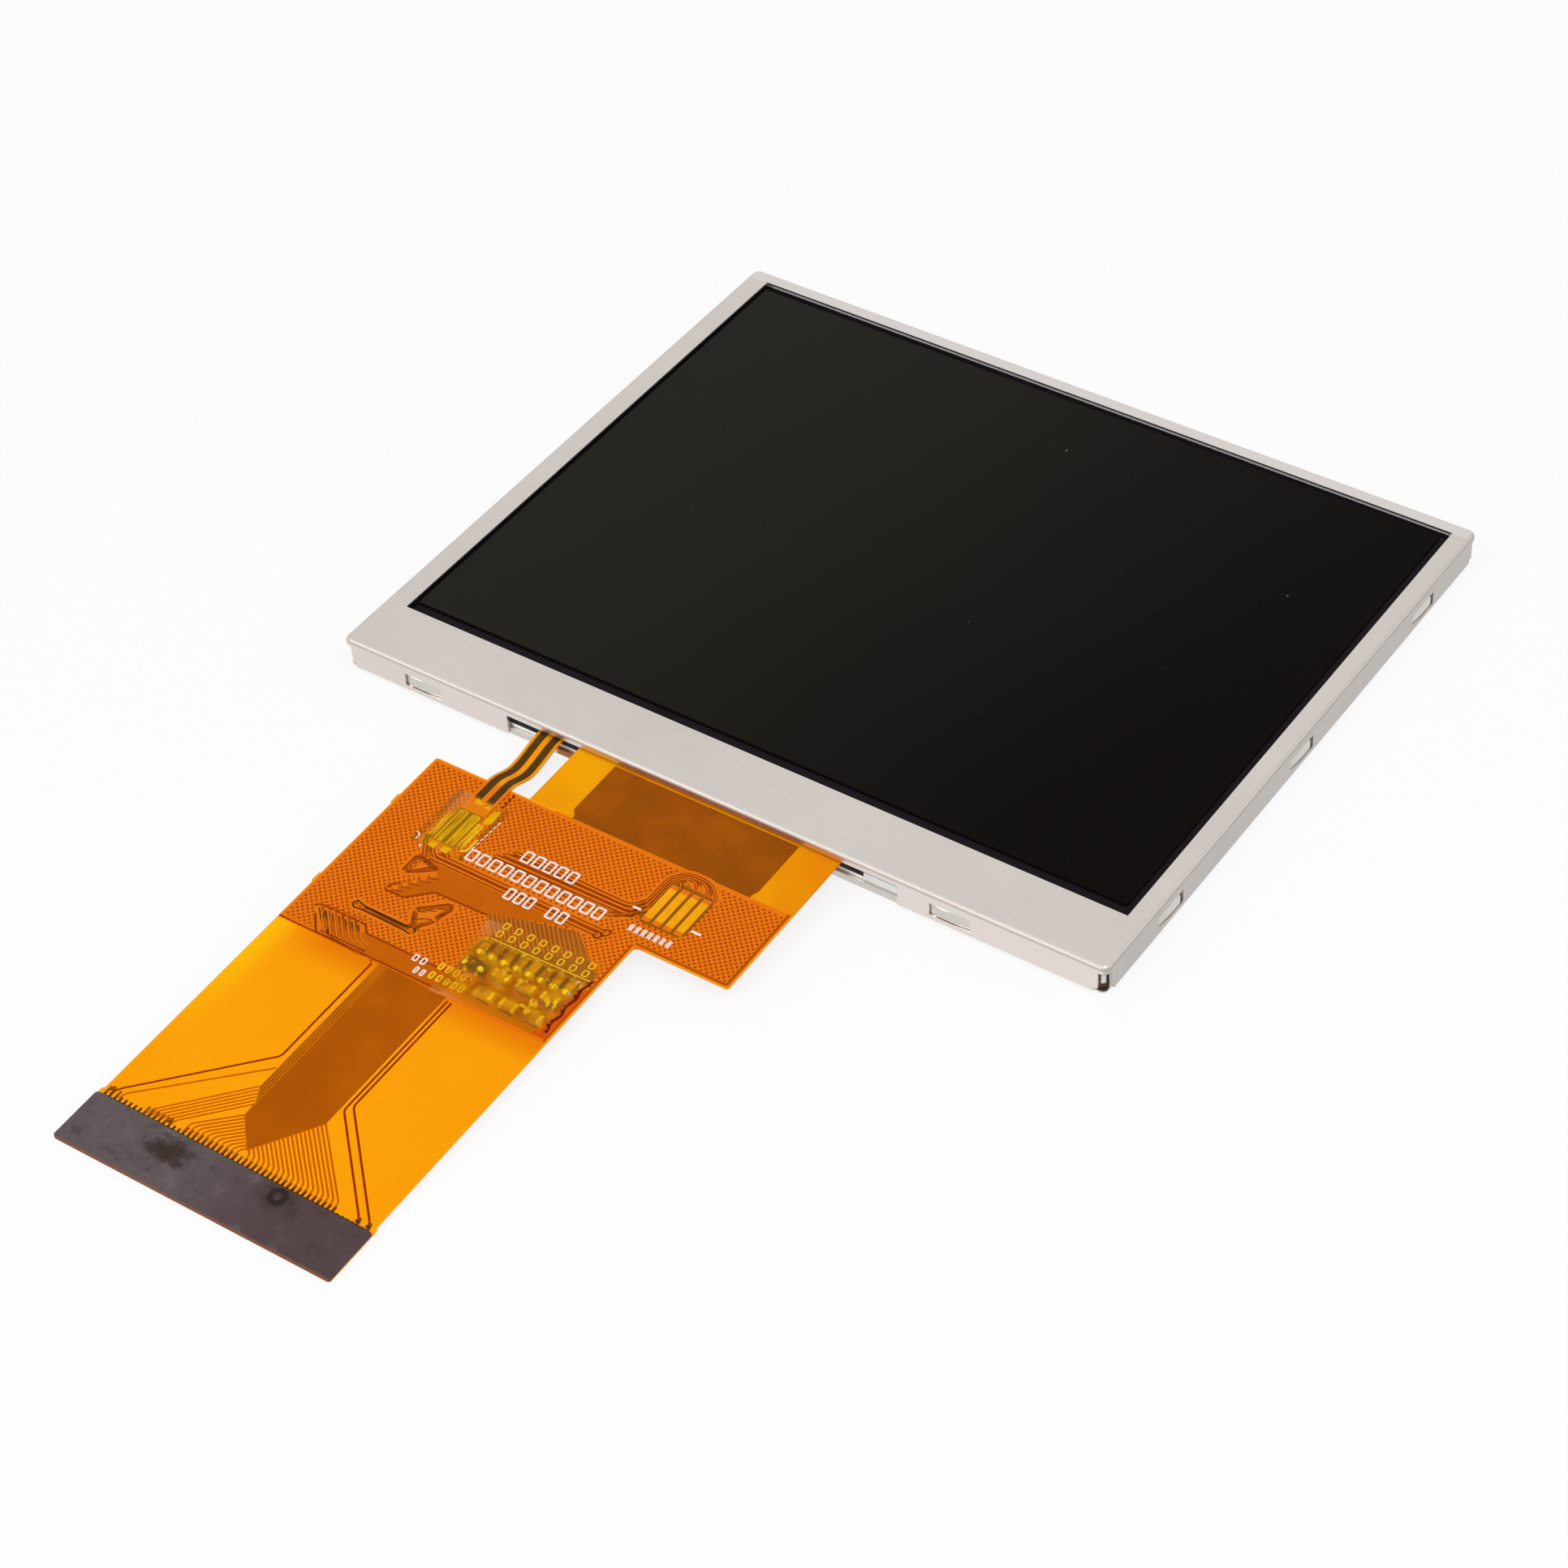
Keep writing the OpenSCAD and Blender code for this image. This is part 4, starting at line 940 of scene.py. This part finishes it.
def border_lines():
    """The edge of the cover film: round the lobe, and down the right side."""
    lobe_y = LOBE_FAR + .3
    lobe_x = LOBE_RIGHT - .3
    side_x = FILM_RIGHT - .28
    return [made.line([(FILM_RIGHT - .1, lobe_y), (lobe_x, lobe_y), (lobe_x, FIELD_NEAR)], .26, 1),
            made.line([(side_x, LOBE_FAR + .1), (side_x, FIELD_FAR + .1)], .24, 1)]


pad_tracks()
long_tracks()
for run in JOINT_TRACKS:
    cut_track(run, 1.0, .42, .14)
loops()
column()
hooks()
lead_lines()
gaps.extend([field.line(run, .2, 3) for run in (AREA_EDGE, *FAR_EDGES)])
# painted shadow along the cover film's far edge
gaps.append(made.line([(FILM_LEFT + .05, FIELD_FAR + .12), (-13.9, FIELD_FAR + .12)], .16, 1))
printed("field_borders", ink("border_brown", (170, 74, 4), (188, 86, 6)), border_lines())
line_light = ink("line_light", (222, 108, 12), (236, 124, 20))
printed("field_clearances", line_light, cleared)
printed("field_gaps", ink("gap_brown", (136, 50, 2), (162, 66, 4)), gaps)
printed("field_combs", ink("comb_dark", (66, 34, 6), (98, 52, 8)), bars)
printed("field_tracks", line_light, copper)
printed("field_areas", ink("area_brown", (186, 86, 2), (206, 102, 6), .3),
        [field.patch(AREA, 2), field.patch(FAR_AREA, 2)])

# ---------------------------------------------------------------- marks: plain hollow boxes and bars

# left, right, y, height, count and line width of each row of boxes
LABELS = ((-9.6, -3.9, -45.1, 1.15, 5), (-13.7, .3, -47.25, 1.15, 12), (-8.3, -5.3, -49.2, 1.15, 3),
          (-4.1, -2.0, -49.2, 1.15, 2), (2.6, 6.9, -46.95, .7, 7, .16), (-10.5, -8.9, -58.5, .62, 2, .15),
          (-9.6, -8.3, -59.55, .62, 2, .15))
TAPED_LABELS = ((-8.1, -5.1, -58.2, .62, 4, .15), (-8.2, -4.5, -59.35, .62, 5, .15))


def white_silk():
    """Matt white print with a fine grain."""
    silk = two_tone("white_silk", (226, 214, 210), (248, 242, 240), 5, .55, .1, 9)
    return silk.set(Normal=silk.bump(silk.noise(9), .01, .5))


def print_marks():
    """Rows of boxes, a bar at each side of the touch pads, and ticks by the backlight's joint."""
    marks = [box for row in LABELS for box in made.boxes(*row)]
    for run in ([(1.55, -44.6), (2.35, -44.6)], [(7.2, -44.45), (8.15, -44.45)]):
        marks.append(made.line(run, .24, 5))
    for i in range(7):
        x = -13.5 - .03 * i
        y = -42.45 - .55 * i
        marks.append(made.line([(x, y), (x - .02, y - .35)], .12, 5))
    marks.append(made.line([(-18.9, -46.75), (-18.45, -46.95), (-18.5, -47.5)], .14, 5, .1))
    return marks + [made.line([(-17.8, -47.85), (-17.6, -48.1)], .14, 5)]


printed("print_marks", white_silk(), print_marks(), "white_plastic")

# ---------------------------------------------------------------- under the clear tapes

CAP_W = .8
CAP_L = 1.6
CAP_PITCH = 1.22
LOW_PITCH = 2.4
LOW_IN = 1.45
ROW = ends.high[0] - CAP_W / 2 - CAP_PITCH * np.arange(8)
ROW_NEAR = ends.high[1]
ROW_FAR = ROW_NEAR - CAP_L
LOW_X = ends.high[0] - .3 - CAP_L / 2 - LOW_PITCH * np.arange(3)
LOW_NEAR = (ROW_FAR - .65, ROW_FAR - .65 - CAP_W - LOW_IN)
LOW_FAR = LOW_NEAR[1] - CAP_W
LINE_Y = ROW_NEAR + .62
JOINT_NEAR = joint.high[1] + .15
JOINT_FAR = joint.low[1] - .05
SIDE_PAD = [(-14.75, -41.7), (-14.15, -41.4), (-14.05, -42.9), (-14.6, -43.4), (-14.85, -43.0)]
LEFT_BIT = [(-16.75, -41.75), (-16.05, -41.75), (-15.85, -41.4), (-16.3, -41.3), (-16.75, -41.15)]
RIGHT_BIT = [(-15.85, -41.8), (-15.4, -41.85), (-15.05, -41.95), (-15.25, -41.4)]
ROW_BACK = [(-8.4, -50.75), (-.85, -48.4), (3.2, -52.3), (3.2, -53.4), (-5.6, -53.6)]


def taped_marks():
    """The line near the row with a tick between each two capacitors, two rows of rounded outlines,
    two rows of boxes, and the bracket by the backlight's joint."""
    marks = [made.line([(-6.3, LINE_Y - .15), (ends.high[0] + .35, LINE_Y + .1)], .13, 6)]
    for x in ROW[:-1] - CAP_PITCH / 2:
        marks.append(made.line([(x, LINE_Y - .02), (x + .02, LINE_Y - .42)], .12, 6))
    for x in ROW - .12:
        for y in (LINE_Y + .28, LINE_Y + 1.22):
            marks.append(made.line([(x - .2, y), (x + .26, y + .04), (x + .22, y + .66), (x - .24, y + .62)],
                                   .13, 6, .2, True))
    for row in TAPED_LABELS:
        marks.extend(made.boxes(*row))
    return marks + [made.line([(-13.95, -45.0), (-13.95, -46.6), (-14.5, -46.75)], .22, 6, .2)]


def joint_golds():
    """Two long pads on the strip and two below it, a pad beside it, and two ragged bits at its near end."""
    golds = [made.patch(SIDE_PAD, 5), strip.patch(LEFT_BIT, 2), strip.patch(RIGHT_BIT, 2)]
    for x in (STRIP_X - STRIP_TRACK_X, STRIP_X + STRIP_TRACK_X):
        golds.append(strip.patch([(x - .42, JOINT_FAR + .05), (x + .38, JOINT_FAR + .1),
                                  (x + .44, JOINT_NEAR - .2), (x + .1, JOINT_NEAR - .05),
                                  (x - .4, JOINT_NEAR - .15)], 2))
        golds.append(made.patch([(x - .4, JOINT_FAR - .75), (x + .36, JOINT_FAR - .8),
                                 (x + .4, JOINT_FAR - .1), (x - .4, JOINT_FAR - .1)], 5))
    return golds


def joint_shadows():
    """The olive ground of the strip's pads and the shadow at its left."""
    left = STRIP_X - 1.3
    return [strip.patch([(STRIP_X - 1.2, JOINT_FAR), (STRIP_X + 1.2, JOINT_FAR),
                         (STRIP_X + 1.2, JOINT_NEAR), (STRIP_X - 1.2, JOINT_NEAR)], 1),
            made.patch([(left - .4, JOINT_FAR - .6), (left, JOINT_FAR - .9),
                        (left, JOINT_NEAR - 1.4), (left - .3, JOINT_NEAR - 1.9)], 4)]


def parts_shadows():
    """Olive shadows left of each upright capacitor, near and far of each lying one, and round the diode."""
    shadows = [made.patch([(x - .66, ROW_NEAR - .1), (x - .42, ROW_NEAR + .12),
                           (x - .4, ROW_FAR - .15), (x - .7, ROW_FAR + .2)], 3) for x in ROW]
    for near in LOW_NEAR:
        far = near - CAP_W
        for x in LOW_X:
            shadows.append(made.patch([(x - 1.0, near + .1), (x - .6, near + .24), (x + .7, near + .18),
                                       (x + .9, near), (x - .9, near - .3)], 3))
            shadows.append(made.patch([(x - .9, far + .2), (x + .8, far + .1), (x + .6, far - .22),
                                       (x - .7, far - .12)], 3))
    left, far = diode.low[:2]
    right, near = diode.high[:2]
    shadows.append(made.patch([(left - .5, near + .3), (left - .3, far - .25), (right + .5, far - .2),
                               (right + .3, near + .4)], 2))
    return shadows


def parts_glow():
    """The golden ground round the parts, and the paler strip along the field's far edge."""
    return [made.patch([(ROW[-1] - 1.0, ROW_NEAR + .2), (ROW[0] + .45, ROW_NEAR + .2),
                        (ROW[0] + .3, LOW_FAR - .2), (LOW_X[2] - .6, LOW_FAR - .3),
                        (LOW_X[2] - 1.6, LOW_NEAR[1] + .4), (ROW[-1] - 1.2, ROW_FAR - .6)], 2),
            made.patch([(-5.9, LOW_NEAR[1] + .2), (FILM_RIGHT - .5, LOW_NEAR[1] - .2),
                        (FILM_RIGHT - .5, FIELD_FAR + .24), (-5.9, FIELD_FAR + .2)], 1)]


printed("joint_gold", ink("joint_gold", (214, 150, 0), (250, 200, 6), 1.4), joint_golds(), "gold")
printed("joint_shadow", ink("joint_olive", (112, 86, 2), (150, 112, 4), .8), joint_shadows())
printed("taped_marks", two_tone("taped_silk", (236, 184, 4), (252, 214, 24), 3, .5, .1, 6, gloss=.2),
        taped_marks(), "clear_tape")
printed("parts_shadow", ink("cap_shadow", (92, 58, 0), (150, 88, 0), .9), parts_shadows())
printed("parts_glow", ink("cap_glow", (186, 98, 0), (222, 124, 2), .5), parts_glow())
printed("row_shadow", ink("row_shadow", (138, 74, 18), (166, 98, 30), .3),
        [field.patch(ROW_BACK, 1)])

# ---------------------------------------------------------------- the tape that drapes over the parts

SHEET = .03
PART_H = .5
FALL = .8
TAPE_CORNERS = np.array([(-7.7, -51.8), (FILM_RIGHT - .62, -50.75), (FILM_RIGHT - 1.0, -59.7),
                         (-7.2, -60.55)])
PARTS = [(x - CAP_W / 2, x + CAP_W / 2, ROW_FAR, ROW_NEAR) for x in ROW]
PARTS += [(x - CAP_L / 2, x + CAP_L / 2, near - CAP_W, near) for x in LOW_X for near in LOW_NEAR]
PARTS += [(diode.low[0], diode.high[0], diode.low[1], diode.high[1])]


def draped(count_x, count_y):
    """The closed tape over the parts. A grid is spread evenly between its four corners. Its height
    over the field is the parts' height times the largest, over the parts, of 1 - distance / fall
    from 0 to 1, eased by 3t^2 - 2t^3, plus small creases: sines of X and Y, strongest halfway up
    the slopes. The underside lies one sheet below."""
    u, v = np.meshgrid(np.linspace(0, 1, count_x), np.linspace(0, 1, count_y), indexing="ij")
    a, b, c, d = TAPE_CORNERS[:, :, None, None]
    x, y = a * (1 - u) * (1 - v) + b * u * (1 - v) + c * u * v + d * (1 - u) * v
    left, right, far, near = np.array(PARTS).T[:, :, None, None]
    gap_x = np.maximum(np.maximum(left - x, x - right), 0)
    gap_y = np.maximum(np.maximum(far - y, y - near), 0)
    rise = np.clip(1 - np.hypot(gap_x, gap_y) / FALL, 0, 1).max(axis=0)
    rise = rise ** 2 * (3 - 2 * rise)
    crease = np.abs(np.sin(x * 4.1 + y * 1.3) * np.sin(y * 3.7 - x * .9) + .6 * np.sin(x * 9.3 - y * 7.1))
    lift = FIELD_TOP + .035 + SHEET + rise * (PART_H + .03) + crease * rise * (1 - rise) * .16
    top = np.stack([x, y, film_z(y, lift)], axis=2).reshape(-1, 3)
    under = top - np.array([0, 0, SHEET])
    n = count_x * count_y
    grid = np.arange(n).reshape(count_x, count_y)
    quads = np.stack([grid[:-1, :-1], grid[:-1, 1:], grid[1:, 1:], grid[1:, :-1]], axis=2).reshape(-1, 4)
    border = np.concatenate([grid[:-1, 0], grid[-1, :-1], grid[:0:-1, -1], grid[0, :0:-1]])
    on = np.roll(border, -1)
    walls = np.stack([border, on, on + n, border + n], axis=1)
    return np.concatenate([top, under]), [quads, (quads + n)[:, ::-1], walls]


def tape_glints(tape, x, y, beat, in_row):
    """1 where the tape shines: over the capacitors' far ends, by a cosine at their pitch, over the
    right ends of the lying ones, and at both ends of the diode."""
    far_ends = y.within(ROW_FAR - .1, ROW_FAR + .2, .15) * in_row
    glint = beat.ramp(.3, .95) * far_ends * tape.noise(.5).ramp(.3, .5)
    for end in (diode.low[0] - .05, diode.high[0] + .05):
        glint = glint.most(away(x, y, (end, diode.low[1] + .1)).ramp(.36, .14))
    low_beat = ((x - (LOW_X[0] + CAP_L / 2 - .1)) * (2 * math.pi / LOW_PITCH)).cos().ramp(.78, .97)
    low_ends = low_beat * x.ramp(LOW_X[2] - .9, LOW_X[2] - .8) * .8
    for near in LOW_NEAR:
        at_far = y.within(near - CAP_W, near - CAP_W + .3, .15)
        glint = glint.most(low_ends * at_far * tape.noise(.7).ramp(.3, .55))
    return glint


def draped_tape_film():
    """Clear yellow tape over the parts: golden and mottled above them, with a painted sheen, painted shade in
    the furrows between the capacitors, painted highlights in its glints, and hazy at two lifted corners."""
    tape = Finish("parts_tape_film", gloss=.12)
    x, y, _ = tape.axes()
    above = x.within(ROW[-1] - .9, ROW[0] + .5, .5) * y.within(LOW_FAR - .1, ROW_NEAR, .4)
    mottle = tape.noise(.62, .8, .6, detail=2)
    sheen = tape.noise(1.3, .9, 1, detail=1).ramp(.6, .68)
    beat = ((x - ROW[0]) * (2 * math.pi / CAP_PITCH)).cos()
    in_row = x.within(ROW[-1] - .5, ROW[0] + .5, .1)
    glint = tape_glints(tape, x, y, beat, in_row)
    # painted shade in the furrows between the upright capacitors
    furrow_shade = beat.ramp(-.1, -.9) * y.within(ROW_FAR + .3, ROW_NEAR - .3, .3) * in_row * (.5 + mottle * .6)
    near_corner = away(x, y, TAPE_CORNERS[0] + (.5, -.4)).ramp(2.0, .3)
    far_corner = away(x, y, TAPE_CORNERS[3] + (1.3, .2), .22, 2).ramp(1.2, .3)
    haze = near_corner.most(far_corner * .9)
    colour = tape.mix(mottle.ramp(.4, .6), (186, 112, 0), (240, 172, 2))
    colour = tape.mix(sheen, colour, (255, 214, 20))
    colour = tape.mix(above, (240, 160, 10), colour)
    colour = tape.mix(furrow_shade, colour, (124, 70, 0))
    colour = tape.mix(glint, colour, (255, 210, 20))
    colour = tape.mix(haze, colour, (246, 168, 92))
    cover = above * (.1 + (mottle - .5).abs() * .9 + sheen * .14)
    cover = .06 + cover + haze * .14 + glint * .75 + furrow_shade * .4
    return tape.set(Base_Color=colour, Roughness=.14 + mottle * .12, Alpha=cover.least(.85),
                    Normal=tape.bump(tape.noise(1.6, detail=3), .1, .6))


tape_piece = add_mesh("parts_tape_draped", *draped(150, 130), draped_tape_film(), "clear_tape", True)
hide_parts("parts_tape")

# ---------------------------------------------------------------- edge of the parts, ground of the touch pads

PADS_NEAR = pads.high[1]
PADS_FAR = pads.low[1]


def ragged_edge():
    """The dark edge right of the parts: its left side waves by two sines of Y, its right side by
    one. Four short ticks stand by the backlight's joint."""
    y = np.linspace(ROW_NEAR + .9, LOW_NEAR[1] - 1.0, 26)
    left = FILM_RIGHT - .78 - .5 * np.abs(np.sin(y * 1.7)) * np.abs(np.sin(y * 5.3 + 1))
    right = FILM_RIGHT - .66 - .12 * np.sin(y * 3.1)
    sides = np.concatenate([np.column_stack([left, y]), np.column_stack([right, y])[::-1]])
    ticks = [made.line([(-14.42, top), (-14.4, top - .3)], .22, 4) for top in -39.25 - .5 * np.arange(4)]
    return [made.patch(sides, 4), *ticks]


printed("parts_edge", ink("edge_orange", (204, 78, 2), (224, 92, 4), .4),
        [made.patch([(FILM_RIGHT - 1.2, ROW_FAR), (FILM_RIGHT - .42, ROW_NEAR),
                     (FILM_RIGHT - .42, FIELD_FAR + .3), (FILM_RIGHT - 1.6, FIELD_FAR + .25)], 3)])
printed("ragged_edge", ink("dark_red", (50, 16, 2), (150, 40, 2), .5), ragged_edge())
printed("pads_ground", ink("pad_shadow", (128, 76, 6), (164, 96, 10), .9),
        [made.patch([(2.55, PADS_NEAR + .05), (2.9, PADS_NEAR + .45), (6.7, PADS_NEAR + .3),
                     (7.1, PADS_NEAR - .2), (7.05, PADS_FAR + .3), (6.6, PADS_FAR - .2),
                     (3.0, PADS_FAR - .25), (2.6, PADS_FAR + .2)], 2)])
printed("pads_arch", ink("arch_brown", (176, 88, 8), (206, 108, 14), .5),
        [made.patch([(2.0, -43.6), (1.75, -40.2), (2.9, -39.05), (5.5, -39.05), (7.1, -40.4),
                     (7.1, PADS_NEAR), (3.0, PADS_NEAR), (2.9, -43.6)], 0)])

# ---------------------------------------------------------------- stage, lights and camera

FLOOR = 1.6
FLOOR_GLOW = .82
WORLD_LIGHT = .5
CAMERA_AT = Vector((147.292, -223.620, 227.539))
CAMERA_AIM = Vector((2.682, -24.541, 0))
CAMERA_ROLL = math.radians(-2.943)
FOCAL = 91.533
SENSOR = 36


def stage():
    """A pale floor that takes the object's shadow and reads as white."""
    pale = Finish("floor")
    pale.set(Base_Color=linear(244, 244, 244), Roughness=.9)
    white = pale.node("ShaderNodeEmission", None, {"Color": (1, 1, 1, 1), "Strength": 1.0})
    lit = Wire(pale, pale.shader.outputs[0])
    blend = pale.node("ShaderNodeMixShader", None, {0: pale.direct() * FLOOR_GLOW, 1: lit, 2: white})
    pale.plug(pale.tree.nodes["Material Output"].inputs["Surface"], blend)
    mesh = bpy.data.meshes.new("floor")
    mesh.from_pydata([(-FLOOR, -FLOOR, 0), (FLOOR, -FLOOR, 0), (FLOOR, FLOOR, 0), (-FLOOR, FLOOR, 0)], [],
                     [(0, 1, 2, 3)])
    mesh.materials.append(pale.material)
    floor = bpy.data.objects.new("floor", mesh)
    scene.collection.objects.link(floor)


def studio():
    """A world that is white where it is seen, and half as strong where it lights the object."""
    world = bpy.data.worlds.new("studio")
    scene.world = world
    world.use_nodes = True
    sky = Nodes(world.node_tree)
    background = sky.tree.nodes["Background"]
    background.inputs["Color"].default_value = (1, 1, 1, 1)
    sky.plug(background.inputs["Strength"], sky.direct() * (1 - WORLD_LIGHT) + WORLD_LIGHT)


def lamp(name, place, size, watts):
    """A square area lamp at a place, turned to the object's middle; both in millimetres."""
    place = Vector(place)
    data = bpy.data.lights.new(name, "AREA")
    data.size = size * MM
    data.energy = watts
    item = bpy.data.objects.new(name, data)
    item.location = place * MM
    item.rotation_euler = (Vector((0, -20, 0)) - place).to_track_quat("-Z", "Y").to_euler()
    scene.collection.objects.link(item)


def camera():
    """The camera at its place, aimed and then rolled about its line of sight."""
    data = bpy.data.cameras.new("camera")
    data.lens = FOCAL
    data.sensor_width = SENSOR
    item = bpy.data.objects.new("camera", data)
    aimed = (CAMERA_AIM - CAMERA_AT).to_track_quat("-Z", "Y").to_matrix()
    turned = aimed @ Matrix.Rotation(CAMERA_ROLL, 3, "Z")
    item.matrix_world = Matrix.Translation(CAMERA_AT * MM) @ turned.to_4x4()
    scene.collection.objects.link(item)
    scene.camera = item


stage()
studio()
lamp("key", (-330, -560, 520), 420, 1.7)
lamp("side", (560, 360, 420), 420, 1.0)
lamp("top", (240, -160, 760), 600, 2.0)
camera()
scene.view_settings.view_transform = "Standard"
